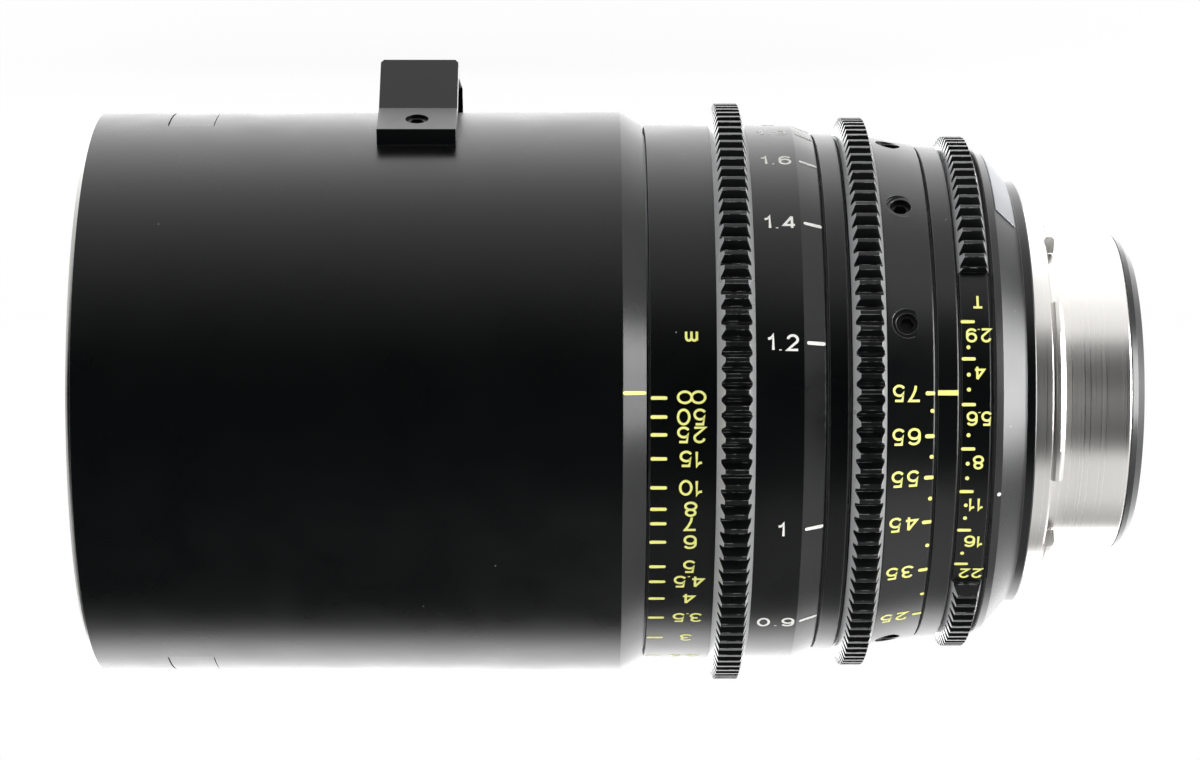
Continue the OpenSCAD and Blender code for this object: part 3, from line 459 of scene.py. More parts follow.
@dataclass
class CadDress:
    """Dresses the CAD nodes in their finishes."""

    # finish of each of the record's material slots
    finishes: dict[str, Finish] = field(default_factory=lambda: {
        "black_anodised": BARREL_BLACK, "gear_black": TEETH_BLACK, "turned_silver": TURNED_STEEL,
        "bare_rim": BARE_EDGE, "optical_glass": GLASS, "inner_black": INNER_BLACK, "inner_grey": INNER_GREY,
        "brass": TURNED_BRASS, "plate_grey": PLATE_SATIN, "screw_black": BLACK_OXIDE,
        "screw_steel": BRIGHT_STEEL, "blade_black": BLADE_STEEL})
    made: dict[str, Material] = field(default_factory=dict)  # materials built so far, by name

    def material(self, finish: Finish) -> Material:
        """Find the material of a finish, which is built at its first use.

        Args:
            finish: The finish.

        Returns:
            Its material.
        """
        if finish.name not in self.made:
            self.made[finish.name] = finish.material()
        return self.made[finish.name]

    def dress(self, frame: dict) -> None:
        """Give every CAD node the finish of its slot.
        """
        for part in frame["record"]["subparts"]:
            mesh = frame["nodes"][part["node"]].data
            mesh.materials.clear()
            mesh.materials.append(self.material(self.finishes[part["material_slot"]]))
            LOG.info("dressed %s", part["node"])


Point = tuple[float, float]
OVAL_STEP = 15.0  # degrees between two points of an oval


def oval(middle: Point, half: Point, start: float = 0.0, turn: float = 360.0) -> list[Point]:
    """Return points along an oval.

    Args:
        middle: Its middle.
        half: Half of its width and of its height.
        start: Angle of the first point, in degrees.
        turn: Angle from the first point to the last, in degrees.

    Returns:
        The points, without the last one if the oval is whole.
    """
    steps = max(2, round(abs(turn) / OVAL_STEP))
    angles = [math.radians(start + turn * i / steps) for i in range(steps + (abs(turn) < 360))]
    return [(middle[0] + half[0] * math.cos(a), middle[1] + half[1] * math.sin(a)) for a in angles]


@dataclass(frozen=True)
class Stroke:
    """One pass of the engraving cutter, on its centre line."""

    points: list[Point]  # its course, where 1 is the height of a figure
    closed: bool = False  # whether it ends where it starts


@dataclass(frozen=True)
class Figure:
    """Figure, letter or sign, as the strokes that engrave it."""

    width: float  # width between its outermost centre lines, where 1 is the height
    strokes: list[Stroke]

    def turned(self) -> "Figure":
        """Turn the figure upside down in its place.

        Returns:
            The turned figure.
        """
        return Figure(self.width, [
            Stroke([(self.width - x, 1 - y) for x, y in stroke.points], stroke.closed)
            for stroke in self.strokes])


SIX = Figure(0.66, [
    Stroke(oval((0.35, 0.66), (0.35, 0.34), 32, 148) + [(0.0, 0.33)]),
    Stroke(oval((0.33, 0.32), (0.33, 0.32)), True)])
FIGURES: dict[str, Figure] = {
    "0": Figure(0.68, [Stroke(oval((0.34, 0.5), (0.34, 0.5)), True)]),
    "1": Figure(0.32, [Stroke([(0.0, 0.77), (0.13, 0.8), (0.25, 0.88), (0.31, 1.0), (0.32, 0.0)])]),
    "2": Figure(0.64, [Stroke(oval((0.32, 0.71), (0.3, 0.29), 172, -205) + [(0.0, 0.0), (0.64, 0.0)])]),
    "3": Figure(0.64, [
        Stroke(oval((0.31, 0.765), (0.28, 0.235), 160, -250) + [(0.22, 0.53)]),
        Stroke([(0.22, 0.53)] + oval((0.32, 0.275), (0.32, 0.275), 90, -250))]),
    "4": Figure(0.68, [Stroke([(0.68, 0.25), (0.0, 0.25), (0.5, 1.0)]), Stroke([(0.5, 1.0), (0.5, 0.0)])]),
    "5": Figure(0.64, [
        Stroke([(0.58, 1.0), (0.13, 1.0), (0.05, 0.5)] + oval((0.31, 0.33), (0.33, 0.33), 135, -285))]),
    "6": SIX,
    "7": Figure(0.64, [Stroke([(0.0, 1.0), (0.64, 1.0), (0.44, 0.66), (0.3, 0.33), (0.24, 0.0)])]),
    "8": Figure(0.66, [
        Stroke(oval((0.33, 0.765), (0.28, 0.235)), True), Stroke(oval((0.33, 0.27), (0.33, 0.27)), True)]),
    "9": SIX.turned(),
    "T": Figure(0.68, [Stroke([(0.0, 1.0), (0.68, 1.0)]), Stroke([(0.34, 1.0), (0.34, 0.0)])]),
    "m": Figure(0.9, [
        Stroke([(0.0, 0.72), (0.0, 0.0)]),
        Stroke([(0.0, 0.4)] + oval((0.225, 0.48), (0.225, 0.24), 180, -180) + [(0.45, 0.0)]),
        Stroke([(0.45, 0.4)] + oval((0.675, 0.48), (0.225, 0.24), 180, -180) + [(0.9, 0.0)])]),
    "∞": Figure(1.64, [
        Stroke(oval((0.41, 0.45), (0.41, 0.39)), True), Stroke(oval((1.23, 0.45), (0.41, 0.39)), True)]),
}
POINT = Figure(0.0, [Stroke([(0.0, -0.03), (0.0, 0.03)])])


@dataclass(frozen=True)
class Lettering:
    """Size of the figures on one scale."""

    height: float  # height of a figure, in millimetres
    cutter: float = 0.4
    stretch: float = 1.0  # width of a figure, set against the plain ones
    gap: float = 0.45  # bare metal between two figures
    point_gap: float = 0.16  # bare metal beside a decimal point

    def strokes(self, words: str) -> list[Stroke]:
        """Lay out a number, centred on the origin.

        Args:
            words: What it says.

        Returns:
            Its strokes in millimetres.
        """
        tall = self.height - self.cutter
        placed: list[Stroke] = []
        pen = 0.0
        before = ""
        for sign in words:
            if before:
                pen += self.cutter + (self.point_gap if "." in (sign, before) else self.gap)
            figure = FIGURES.get(sign, POINT)
            wide = tall * self.stretch
            placed += [Stroke([(pen + x * wide, y * tall) for x, y in stroke.points], stroke.closed)
                       for stroke in figure.strokes]
            pen += figure.width * wide
            before = sign
        return [Stroke([(x - pen / 2, y - tall / 2) for x, y in stroke.points], stroke.closed)
                for stroke in placed]


class Reading(Enum):
    """Which way up a number reads, as the way along the axis that its line runs."""

    FOOT_DOWN = 1
    FOOT_UP = -1


@dataclass
class Dial:
    """Turned surface that carries engraved marks, and the mesh that they are made in."""

    name: str  # name of the piece that the marks make
    body: str  # body that they turn with
    outline: list[tuple[float, float]]  # stations and radii along the surface, in millimetres
    paint: Finish
    reading: Reading = Reading.FOOT_DOWN  # which way up the numbers read
    rise: float = 0.03  # height of the filling above the metal
    sink: float = 0.08  # depth of the filling below it
    mitre: float = 0.45  # least share that a corner is mitred by
    layer: float = 0.01  # share of the height by which each stroke of a number tops the last
    segments: int = 16  # sides of a dot or of a line's two ends together
    mesh: BMesh = field(default_factory=bmesh.new)

    def radius(self, station: float) -> float:
        """Measure the surface, along straight stretches of the outline.

        Args:
            station: Station to measure at.

        Returns:
            Its radius there.
        """
        for (rear, low), (front, high) in zip(self.outline, self.outline[1:]):
            if station <= front:
                return low + (high - low) * (station - rear) / (front - rear)
        return self.outline[-1][1]

    def wrap(self, piece: BMesh, station: float, turn: float) -> None:
        """Lay a flat mark on the surface and keep it.

        Args:
            piece: Mark in millimetres, from z = 0 below to z = 1 above, read along +x with +y up.
            station: Station of the mark's origin.
            turn: Turn of the mark's origin.
        """
        way = self.reading.value
        for vert in piece.verts:
            along, up, layer = vert.co
            place = station + way * along
            radius = self.radius(place)
            angle = math.radians(turn) - way * up / radius
            height = radius - self.sink + layer * (self.sink + self.rise)
            vert.co = Vector((place, -height * math.cos(angle), -height * math.sin(angle))) * MM
        held = to_mesh(self.name, piece)
        self.mesh.from_mesh(held)
        bpy.data.meshes.remove(held)

    def band(self, rear: float, front: float, turn: float, width: float) -> None:
        """Engrave a line along the axis, with square ends.

        Args:
            rear: Station of its rear end.
            front: Station of its front end.
            turn: Turn of its middle.
            width: Width of the line.
        """
        middle = (rear + front) / 2
        piece = self.ribbon(Stroke([(rear - middle, 0.0), (0.0, 0.0), (front - middle, 0.0)]), width)
        self.thicken(piece)
        self.wrap(piece, middle, turn)

    def bar(self, rear: float, front: float, turn: float, width: float) -> None:
        """Engrave a line along the axis, with ends as round as the cutter.

        Args:
            rear: Station of its rear end.
            front: Station of its front end.
            turn: Turn of its middle.
            width: Width of the cutter.
        """
        piece = bmesh.new()
        bmesh.ops.create_circle(piece, cap_ends=True, radius=width / 2, segments=self.segments)
        half = (front - rear - width) / 2
        for vert in piece.verts:
            vert.co.x += math.copysign(half, vert.co.x)
        self.thicken(piece)
        self.wrap(piece, (rear + front) / 2, turn)

    def dot(self, station: float, turn: float, radius: float) -> None:
        """Engrave a round dot.

        Args:
            station: Station of its middle.
            turn: Turn of its middle.
            radius: Its radius.
        """
        piece = bmesh.new()
        bmesh.ops.create_circle(piece, cap_ends=True, radius=radius, segments=self.segments)
        self.thicken(piece)
        self.wrap(piece, station, turn)

    def thicken(self, piece: BMesh, height: float = 1.0) -> None:
        """Give a flat mark its height, as a closed solid.

        Args:
            piece: The flat mark.
            height: Its height, where 1 is the depth of the filling.
        """
        raised = bmesh.ops.extrude_face_region(piece, geom=piece.faces[:])
        tops = [part for part in raised["geom"] if isinstance(part, BMVert)]
        bmesh.ops.translate(piece, verts=tops, vec=(0, 0, height))
        bmesh.ops.recalc_face_normals(piece, faces=piece.faces[:])

    def ribbon(self, stroke: Stroke, width: float) -> BMesh:
        """Draw the flat track of a cutter, with its corners mitred.

        Args:
            stroke: Course of the cutter.
            width: Width of the cutter.

        Returns:
            The track.
        """
        course = [Vector(point) for point in stroke.points]
        count = len(course)
        piece = bmesh.new()
        edges = []
        for i, here in enumerate(course):
            before = course[i - 1] if i or stroke.closed else None
            after = course[(i + 1) % count] if i + 1 < count or stroke.closed else None
            ways = [(here - before).normalized()] if before is not None else []
            ways += [(after - here).normalized()] if after is not None else []
            sides = [Vector((-way.y, way.x)) for way in ways]
            middle = sum(sides, Vector((0, 0))).normalized()
            out = middle * width / 2 / max(middle.dot(sides[0]), self.mitre)
            edges.append([piece.verts.new((*place, 0.0)) for place in (here + out, here - out)])
        pairs = zip(edges, edges[1:] + edges[:1]) if stroke.closed else zip(edges, edges[1:])
        for (left, right), (next_left, next_right) in pairs:
            piece.faces.new((right, next_right, next_left, left))
        return piece

    def number(self, words: str, station: float, turn: float, lettering: Lettering) -> None:
        """Engrave a number.

        Args:
            words: What it says.
            station: Station of its middle.
            turn: Turn of its middle.
            lettering: Size of its figures.
        """
        for layer, stroke in enumerate(lettering.strokes(words)):
            piece = self.ribbon(stroke, lettering.cutter)
            self.thicken(piece, 1 + self.layer * layer)
            self.wrap(piece, station, turn)

    def finish(self, dress: CadDress) -> Object:
        """Make the marks one piece that rides on the dial's body.

        Args:
            dress: Holder of the materials.

        Returns:
            The finished piece.
        """
        made = to_mesh(self.name, self.mesh)
        made.materials.append(dress.material(self.paint))
        piece = stand(self.name, made)
        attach(piece, self.body)
        LOG.info("engraved %s on %s", self.name, self.body)
        return piece


def span(node: str) -> tuple[float, float]:
    """Return the rear and front stations of a CAD node, in millimetres."""
    low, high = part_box(node)
    return low.x / MM, high.x / MM


def reach(node: str) -> float:
    """Return the largest radius of a CAD node, in millimetres."""
    low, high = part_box(node)
    return max(high.z, -low.z) / MM


@dataclass
class FocusScale:
    """Distance scale of the focus ring, read from either side of the lens."""

    dress: CadDress
    # angle of each distance from the index at the infinity stop, in degrees
    turns: dict[str, float] = field(default_factory=lambda: {
        "50": 3.8, "25": 7.4, "15": 12.3, "10": 18.4, "8": 23.1, "7": 26.4, "6": 30.8, "5": 37.1,
        "4.5": 41.3, "4": 46.5, "3.5": 53.3, "3": 62.4, "2.5": 78.0, "2": 97.0, "1.8": 109.8,
        "1.6": 125.5, "1.4": 145.3, "1.2": 172.3, "1": 211.3, "0.9": 238.6, "0.8": 270.0})
    lettering: Lettering = Lettering(2.7, stretch=1.14)  # figures in front of the gear
    unit_lettering: Lettering = Lettering(2.4, stretch=0.95)  # letter that names the unit
    unit_turn: float = 10.9
    # figures behind the gear
    rear_lettering: Lettering = Lettering(2.75, 0.42, stretch=1.1, gap=0.55, point_gap=0.72)
    line_width: float = 0.6
    line_len: float = 2.7  # length of a line in front of the gear
    line_margin: float = 0.25  # distance from the ring's front edge to the lines
    figure_shift: float = 0.1  # distance by which the figures stand in front of their field's middle
    cone_len: float = 3.6  # length of the cone at the ring's rear edge
    cone_drop: float = 1.35  # radius that the ring loses on that cone
    rear_margin: float = 0.15  # distance from the ring's rear edge to the lines there
    cone_margin: float = 0.45  # distance from the cone's front end to those lines
    rear_shift: float = 0.45  # distance by which the rear figures stand behind their field's middle
    first_turn: float = 1.2  # angle from the camera's side to the infinity mark
    far_side: float = 183.4  # angle between the two scales

    def near_scale(self) -> None:
        """Engrave the scale in front of the gear."""
        _, front = span("focus_ring")
        _, gear_front = span("focus_gear")
        ring = reach("focus_ring")
        scale = Dial("focus_scale", "focus", [(gear_front, ring), (front, ring)], LIME_PAINT)
        line_front = front - self.line_margin
        line_rear = line_front - self.line_len
        figures = (gear_front + line_rear) / 2 + self.figure_shift
        scale.bar(line_rear, line_front, -self.first_turn, self.line_width)
        scale.number("∞", figures, -self.first_turn, self.lettering)
        scale.number("m", figures, self.unit_turn, self.unit_lettering)
        for words, turn in self.turns.items():
            scale.bar(line_rear, line_front, -self.first_turn - turn, self.line_width)
            scale.number(words, figures, -self.first_turn - turn, self.lettering)
        scale.finish(self.dress)

    def far_scale(self) -> None:
        """Engrave the scale behind the gear, which reads from the other side."""
        rear, _ = span("focus_ring")
        gear_rear, _ = span("focus_gear")
        ring = reach("focus_ring")
        cone_front = rear + self.cone_len
        outline = [(rear, ring - self.cone_drop), (cone_front, ring), (gear_rear, ring)]
        scale = Dial("focus_far_scale", "focus", outline, WHITE_PAINT, Reading.FOOT_UP)
        zero = self.far_side - self.first_turn
        middle = (cone_front + gear_rear) / 2 - self.rear_shift
        for words, turn in ({"∞": 0.0} | self.turns).items():
            scale.bar(rear + self.rear_margin, cone_front - self.cone_margin, zero - turn, self.line_width)
            scale.number(words, middle, zero - turn, self.rear_lettering)
        scale.finish(self.dress)

    def build(self) -> None:
        """Engrave both scales."""
        self.near_scale()
        self.far_scale()


@dataclass
class ZoomScale:
    """Focal lengths round the zoom ring, in millimetres."""

    dress: CadDress
    # angle of each focal length from the index, in degrees
    turns: dict[str, float] = field(default_factory=lambda: {
        "75": 0.3, "65": 9.6, "55": 18.9, "45": 29.7, "35": 43.2, "25": 60.3})
    halfway: tuple[float, ...] = (4.1, 14.2, 23.9, 36.0, 51.7)  # angles of the dots between them
    lettering: Lettering = Lettering(2.8, stretch=1.08)
    line_width: float = 0.66
    line_len: float = 1.6  # length of a line, from the ring's rear edge
    figure_place: float = 4.6  # distance from that edge to the figures' middle
    dot_place: float = 0.45  # distance from that edge to the dots
    dot_radius: float = 0.34
    cone_drop: float = 1.4  # radius that the ring loses from its gear to its rear edge
    land_behind: float = 0.2  # length of the gear's land that stands behind the gear

    def build(self) -> None:
        """Engrave the scale."""
        rear, _ = span("zoom_ring")
        gear_rear, gear_front = span("zoom_gear")
        ring = reach("zoom_ring")
        outline = [(rear, ring - self.cone_drop), (gear_rear - self.land_behind, ring), (gear_front, ring)]
        scale = Dial("zoom_scale", "zoom", outline, LIME_PAINT)
        for words, turn in self.turns.items():
            scale.bar(rear, rear + self.line_len, -turn, self.line_width)
            scale.number(words, rear + self.figure_place, -turn, self.lettering)
        for turn in self.halfway:
            scale.dot(rear + self.dot_place, -turn, self.dot_radius)
        scale.finish(self.dress)


@dataclass
class IrisScale:
    """Stops on the iris ring's raised land."""

    dress: CadDress
    # angle of each stop as photographed, in degrees
    stops: dict[str, float] = field(default_factory=lambda: {
        "2.9": -15.7, "4": -7.3, "5.6": 2.8, "8": 12.7, "11": 22.7, "16": 32.6, "22": 42.5})
    # angles of the dots at third stops
    thirds: tuple[float, ...] = (-9.9, -3.8, -0.5, 9.6, 16.1, 19.5, 26.1, 29.4, 39.2)
    lettering: Lettering = Lettering(2.35, 0.38, stretch=1.08, gap=0.3, point_gap=0.1)
    letter_turn: float = 20.4  # turn of the letter that names the stops
    line_width: float = 0.56
    line_len: float = 2.3
    line_margin: float = 0.1  # distance from the ring's front edge to the lines
    figure_place: float = 2.95  # distance from that edge to the figures' middle
    drop: float = 2.25  # distance from a line down to its figures
    dot_radius: float = 0.33
    land_drop: float = 0.5  # distance from the index ring's surface down to the land

    def build(self) -> None:
        """Engrave the scale."""
        rear, front = span("iris_ring")
        land = reach("index_ring") - self.land_drop
        scale = Dial("iris_scale", "iris", [(rear, land), (front, land)], LIME_PAINT)
        below = math.degrees(self.drop / land)
        line_front = front - self.line_margin
        line_rear = line_front - self.line_len
        figures = front - self.figure_place
        for words, turn in self.stops.items():
            scale.bar(line_rear, line_front, -turn, self.line_width)
            scale.number(words, figures, -turn - below, self.lettering)
        for turn in self.thirds:
            scale.dot((line_rear + line_front) / 2, -turn, self.dot_radius)
        scale.number("T", figures, self.letter_turn, self.lettering)
        scale.finish(self.dress)


@dataclass
class IndexMarks:
    """Marks on the fixed parts that the scales are read against."""

    dress: CadDress
    turn: float = -0.2  # turn of the index lines
    line_width: float = 0.62  # width of the lines on the barrel and on the band
    # length of the barrel's rear chamfer, and the radius that it takes off
    chamfer: tuple[float, float] = (3.75, 2.25)
    chamfer_margin: float = 0.05  # how far the line keeps off its rear edge and runs past its front
    ring_width: float = 0.84  # width of the line on the index ring
    ring_drop: float = 0.2  # radius that the index ring loses to its rear edge
    ring_margin: float = 0.1  # distance from the index ring's edges to the line
    # length of the rear housing's leaning edge, and the radius that it takes off
    housing_edge: tuple[float, float] = (1.7, 0.5)
    # distance of the white dot from that edge's front, its turn and its radius
    dot: tuple[float, float, float] = (1.0, -23.6, 0.32)
    band_radius: float = 44.1  # radius of the fixed band between the large rings
    band_line: tuple[float, float] = (36.7, 39.4)  # stations of the line's ends on that band
    band_turn: float = 180.5  # turn of that line, which the far scale is read against

    def lines(self) -> None:
        """Engrave the focus index on the barrel's chamfer, and the line that zoom and iris share."""
        rear, front = span("front_barrel")
        edge = reach("front_barrel")
        length, drop = self.chamfer
        outline = [(rear, edge - drop), (rear + length, edge), (front, edge)]
        marks = Dial("barrel_index", "barrel", outline, LIME_PAINT)
        marks.bar(rear + self.chamfer_margin, rear + length + self.chamfer_margin, self.turn, self.line_width)
        marks.finish(self.dress)
        rear, front = span("index_ring")
        edge = reach("index_ring")
        marks = Dial("index_line", "barrel", [(rear, edge - self.ring_drop), (front, edge)], LIME_PAINT)
        marks.band(rear + self.ring_margin, front - self.ring_margin, self.turn, self.ring_width)
        marks.finish(self.dress)

    def white_marks(self) -> None:
        """Engrave the dot on the rear housing's edge, and the far scale's index on the fixed band."""
        _, front = span("rear_housing")
        edge = reach("rear_housing")
        length, drop = self.housing_edge
        place, turn, radius = self.dot
        marks = Dial("housing_dot", "barrel", [(front - length, edge - drop), (front, edge)], WHITE_PAINT)
        marks.dot(front - place, turn, radius)
        marks.finish(self.dress)
        rear, front = self.band_line
        outline = [(rear, self.band_radius), (front, self.band_radius)]
        marks = Dial("far_index", "barrel", outline, WHITE_PAINT)
        marks.bar(rear, front, self.band_turn, self.line_width)
        marks.finish(self.dress)

    def build(self) -> None:
        """Engrave all the marks."""
        self.lines()
        self.white_marks()


@dataclass
class Viewpoint:
    """Camera of the photograph."""

    distance: float = 587.8  # distance from the camera to the optical axis
    station: float = 81.4  # station that the camera stands at
    aim: float = 75.6  # station that it looks at
    height: float = -1.9  # its height, which is the picture's middle line too
    lens: float = 102.75  # focal length for that sensor
    sensor: float = 36.0  # width of the sensor
    sight: tuple[float, float] = (0.01, 50.0)  # nearest and furthest thing that it sees, in metres

    def build(self) -> None:
        """Stand the camera where the photograph was taken, with the foot at the top of the picture."""
        made = bpy.data.cameras.new("camera")
        made.lens = self.lens
        made.sensor_width = self.sensor
        made.clip_start, made.clip_end = self.sight
        holder = stand("camera", made)
        eye = Vector((self.station, -self.distance, self.height)) * MM
        target = Vector((self.aim, 0.0, self.height)) * MM
        back = (eye - target).normalized()
        right = Vector((0, 0, -1)).cross(back).normalized()
        turned = Matrix((right, back.cross(right), back)).transposed()
        holder.matrix_world = Matrix.Translation(eye) @ turned.to_4x4()
        bpy.context.scene.camera = holder


def eye_or_glass(tree: NodeTree) -> Node:
    """Find the rays that see plain white.

    Args:
        tree: Node tree of the world or of a material.

    Returns:
        1 for the rays of the eye and of glass, and 0 for all others.
    """
    path = add(tree, "LightPath", {}, {})
    return add(tree, "Math", {"operation": "MAXIMUM"},
               {0: path.outputs["Is Camera Ray"], 1: path.outputs["Is Transmission Ray"]})


@dataclass
class Floor:
    """White paper under the foot: plain white to the eye, with the object's shadow on it."""

    side: float = 6.0  # length of its sides, in metres
    gap: float = 0.0002  # distance from the foot down to it, in metres
    colour: str = "#f4f4f4"
    roughness: float = 0.9
    glow: float = 0.95  # share of plain white that the eye sees, where the rest shows the shadow

    def paper(self) -> Material:
        """Build the paper.

        Returns:
            Its material.
        """
        made = bpy.data.materials.new("white_paper")
        made.use_nodes = True
        tree = made.node_tree
        shader = tree.nodes["Principled BSDF"]
        shader.inputs["Base Color"].default_value = linear(self.colour)
        shader.inputs["Roughness"].default_value = self.roughness
        glow = add(tree, "Emission", {"Color": (1, 1, 1, 1), "Strength": 1.0}, {})
        share = add(tree, "Math", {"operation": "MULTIPLY", 1: self.glow}, {0: eye_or_glass(tree)})
        mixed = add(tree, "MixShader", {}, {0: share, 1: shader, 2: glow})
        tree.links.new(mixed.outputs[0], tree.nodes["Material Output"].inputs["Surface"])
        return made

    def build(self) -> None:
        """Lay the floor."""
        piece = bmesh.new()
        bmesh.ops.create_grid(piece, x_segments=1, y_segments=1, size=self.side / 2)
        low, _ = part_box("support_foot")
        bmesh.ops.translate(piece, verts=piece.verts[:], vec=(0, 0, low.z - self.gap))
        mesh = to_mesh("floor", piece)
        mesh.materials.append(self.paper())
        floor = stand("floor", mesh)
        floor.visible_glossy = False


@dataclass
class Room:
    """Light of the room by direction, where 1 is white: dark round the camera, bright above and below.

    A direction's turn is 0 towards the camera and -90 on the foot's side, in degrees, and its share
    along the axis is 1 straight ahead of either end.
    """

    wall: float = 2.6  # level of the walls above the foot and below the barrel
    # turns between which the wall on the foot's side grows from nothing
    foot_turns: tuple[float, float] = (-5.0, -110.0)
    foot_power: float = 2.0  # how slowly that wall grows at first
    far_turns: tuple[float, float] = (109.0, 131.0)  # turns between which the opposite wall comes up
    wall_shares: tuple[float, float] = (0.4, 0.8)  # shares along the axis between which both walls fall off
    wall_falloff: float = 0.35  # share of a wall's level that is left there
    end_wall: float = 1.35  # level of the walls that face the two ends
    end_shares: tuple[float, float] = (0.4, 0.8)  # shares along the axis between which an end wall comes up
    # shares, below 0 towards the mount, between which its wall comes up beside the lens
    near_shares: tuple[float, float] = (-0.08, -0.16)
    dark_share: float = 1.1  # half width of the dark round the camera, as a share along the axis
    dark_turn: float = 45.0  # half height of that dark
    dark_middle: float = 4.0  # turn of its middle
    # squares of the shares of its size at which the ends' light starts and is full
    dark_edge: tuple[float, float] = (0.6, 1.2)
    # turns between which the end walls fall off behind the lens
    behind_turns: tuple[float, float] = (85.0, 120.0)
    behind_falloff: float = 0.25  # share of their level that is left there
    # shares away from the camera between which mirrors see the white background
    backdrop_shares: tuple[float, float] = (0.5, 0.75)

    def walls(self, tree: NodeTree, turn: Node, aside: Node) -> Node:
        """Light the walls above the foot and below the barrel.

        Args:
            tree: Node tree of the world.
            turn: Turn of the direction, in radians.
            aside: Its share along the axis.

        Returns:
            Their level.
        """
        none, full = map(math.radians, self.foot_turns)
        foot_side = add(tree, "MapRange", {"From Min": none, "From Max": full}, {"Value": turn})
        grown = add(tree, "Math", {"operation": "POWER", 1: self.foot_power}, {0: foot_side})
        lit = add(tree, "Math", {"operation": "MULTIPLY", 1: self.wall}, {0: grown})
        none, full = map(math.radians, self.far_turns)
        far_side = add(tree, "MapRange", {
            "interpolation_type": "SMOOTHSTEP", "From Min": none, "From Max": full, "To Max": self.wall},
            {"Value": turn})
        both = add(tree, "Math", {"operation": "MAXIMUM"}, {0: far_side, 1: lit})
        full, less = self.wall_shares
        beside = add(tree, "MapRange", {
            "From Min": full, "From Max": less, "To Min": 1.0, "To Max": self.wall_falloff}, {"Value": aside})
        return add(tree, "Math", {"operation": "MULTIPLY"}, {0: both, 1: beside})

    def clear_of_camera(self, tree: NodeTree, turn: Node, aside: Node) -> Node:
        """Keep the oval round the camera dark.

        Args:
            tree: Node tree of the world.
            turn: Turn of the direction, in radians.
            aside: Its share along the axis.

        Returns:
            0 in the oval and 1 outside it.
        """
        off = add(tree, "Math", {"operation": "SUBTRACT", 1: math.radians(self.dark_middle)}, {0: turn})
        squares = []
        for way, half in ((aside, self.dark_share), (off, math.radians(self.dark_turn))):
            part = add(tree, "Math", {"operation": "DIVIDE", 1: half}, {0: way})
            squares.append(add(tree, "Math", {"operation": "POWER", 1: 2.0}, {0: part}))
        size = add(tree, "Math", {"operation": "ADD"}, dict(enumerate(squares)))
        none, full = self.dark_edge
        return add(tree, "MapRange", {
            "interpolation_type": "SMOOTHSTEP", "From Min": none, "From Max": full}, {"Value": size})

    def ends(self, tree: NodeTree, turn: Node, aside: Node, forward: NodeSocket) -> Node:
        """Light the walls that face the two ends.

        Args:
            tree: Node tree of the world.
            turn: Turn of the direction, in radians.
            aside: Its share along the axis.
            forward: The same share, below 0 towards the mount.

        Returns:
            Their level.
        """
        sides = []
        for (none, full), way in ((self.near_shares, forward), (self.end_shares, aside)):
            sides.append(add(tree, "MapRange", {
                "interpolation_type": "SMOOTHSTEP", "From Min": none, "From Max": full,
                "To Max": self.end_wall}, {"Value": way}))
        both = add(tree, "Math", {"operation": "MAXIMUM"}, dict(enumerate(sides)))
        away = add(tree, "Math", {"operation": "ABSOLUTE"}, {0: turn})
        full, less = map(math.radians, self.behind_turns)
        behind = add(tree, "MapRange", {
            "From Min": full, "From Max": less, "To Min": 1.0, "To Max": self.behind_falloff},
            {"Value": away})
        where = add(tree, "Math", {"operation": "MULTIPLY"},
                    {0: self.clear_of_camera(tree, turn, aside), 1: behind})
        return add(tree, "Math", {"operation": "MULTIPLY"}, {0: both, 1: where})

    def backdrop(self, tree: NodeTree, back: NodeSocket) -> Node:
        """Show mirrors the white background behind the lens.

        Args:
            tree: Node tree of the world.
            back: Share of the direction that points away from the camera.

        Returns:
            1 where they see it.
        """
        none, full = self.backdrop_shares
        shown = add(tree, "MapRange", {
            "interpolation_type": "SMOOTHSTEP", "From Min": none, "From Max": full}, {"Value": back})
        mirrored = add(tree, "LightPath", {}, {}).outputs["Is Glossy Ray"]
        return add(tree, "Math", {"operation": "MULTIPLY"}, {0: shown, 1: mirrored})

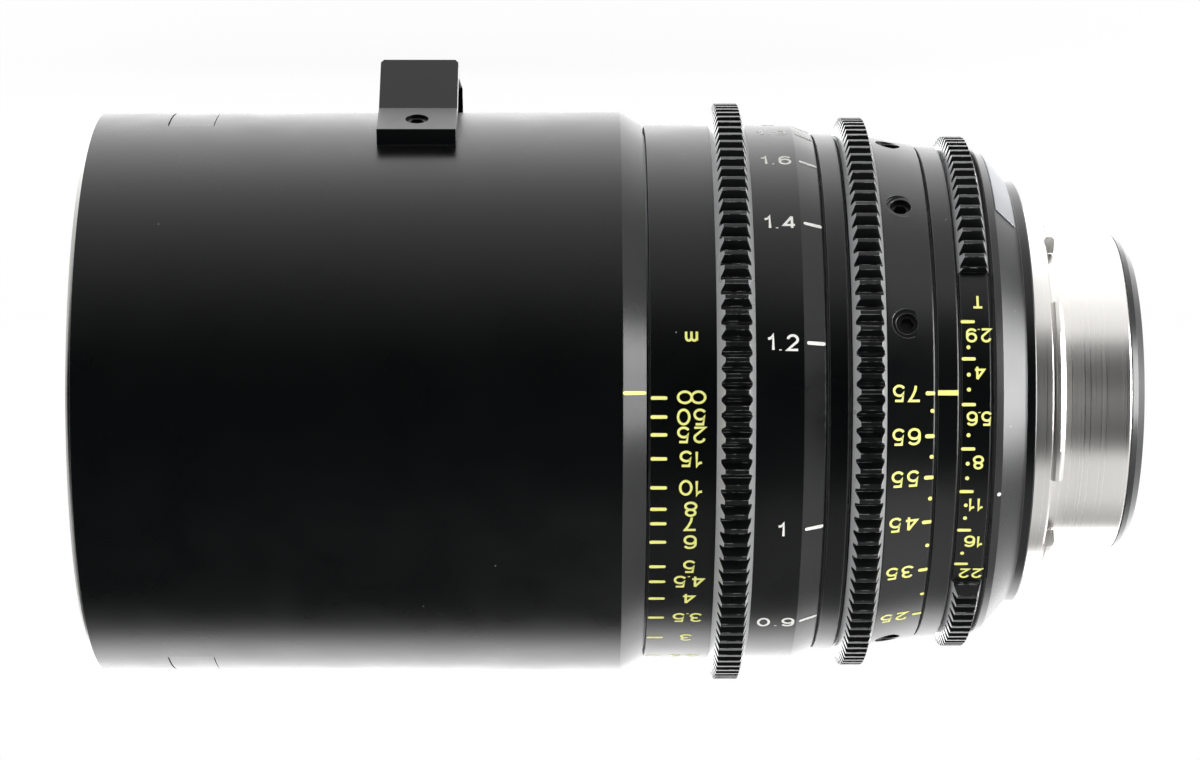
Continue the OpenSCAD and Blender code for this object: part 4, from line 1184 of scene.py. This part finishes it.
    def build(self) -> None:
        """Surround the lens with the room, which the eye and glass see as plain white."""
        made = bpy.data.worlds.new("studio")
        bpy.context.scene.world = made
        made.use_nodes = True
        tree = made.node_tree
        sky = tree.nodes["Background"]
        place = add(tree, "TexCoord", {}, {})
        way = add(tree, "SeparateXYZ", {}, {0: place.outputs["Generated"]})
        forward, back, up = way.outputs
        toward = add(tree, "Math", {"operation": "MULTIPLY", 1: -1.0}, {0: back})
        turn = add(tree, "Math", {"operation": "ARCTAN2"}, {0: up, 1: toward})
        aside = add(tree, "Math", {"operation": "ABSOLUTE"}, {0: forward})
        room = add(tree, "Math", {"operation": "MAXIMUM"},
                   {0: self.walls(tree, turn, aside), 1: self.ends(tree, turn, aside, forward)})
        level = add(tree, "Math", {"operation": "MAXIMUM"}, {0: room, 1: self.backdrop(tree, back)})
        seen = add(tree, "Mix", {"data_type": "FLOAT", 3: 1.0}, {0: eye_or_glass(tree), 2: level})
        tree.links.new(seen.outputs[0], sky.inputs["Strength"])
        sky.inputs["Color"].default_value = (1, 1, 1, 1)


@dataclass
class SoftBox:
    """Lamp with a wide, even face that looks at the lens."""

    name: str
    place: tuple[float, float, float]  # its place in metres
    size: tuple[float, float]  # its width and height in metres
    watts: float
    mirrored: bool = True  # whether the lens's gloss shows it
    aim: float = Viewpoint.aim  # station that it faces, in millimetres

    def build(self) -> None:
        """Stand the lamp."""
        made = bpy.data.lights.new(self.name, "AREA")
        made.shape = "RECTANGLE"
        made.size, made.size_y = self.size
        made.energy = self.watts
        holder = stand(self.name, made)
        holder.location = self.place
        way = Vector((self.aim * MM, 0, 0)) - Vector(self.place)
        holder.rotation_mode = "QUATERNION"
        holder.rotation_quaternion = way.to_track_quat("-Z", "Y")
        holder.visible_glossy = self.mirrored


# The first lights the chamfer and the rear cone, the second what scatters light, such as the paint.
SOFT_BOXES = (
    SoftBox("rear_box", (-0.86, -0.13, -0.05), (0.74, 0.50), 21.0),
    SoftBox("front_fill", (Viewpoint.station * MM, -1.3, 0.45), (0.9, 0.9), 8.0, mirrored=False))


def main() -> None:
    """Build the lens's looks in order."""
    logging.basicConfig(level=logging.INFO)
    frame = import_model()
    dress = CadDress()
    bpy.context.scene.view_settings.view_transform = "Standard"
    for stage in (Viewpoint(), Floor(), Room(), *SOFT_BOXES):
        stage.build()
        LOG.info("set up %s", type(stage).__name__)
    dress.dress(frame)
    for part in (FocusScale(dress), ZoomScale(dress), IrisScale(dress), IndexMarks(dress)):
        part.build()


if __name__ == "__main__":
    main()
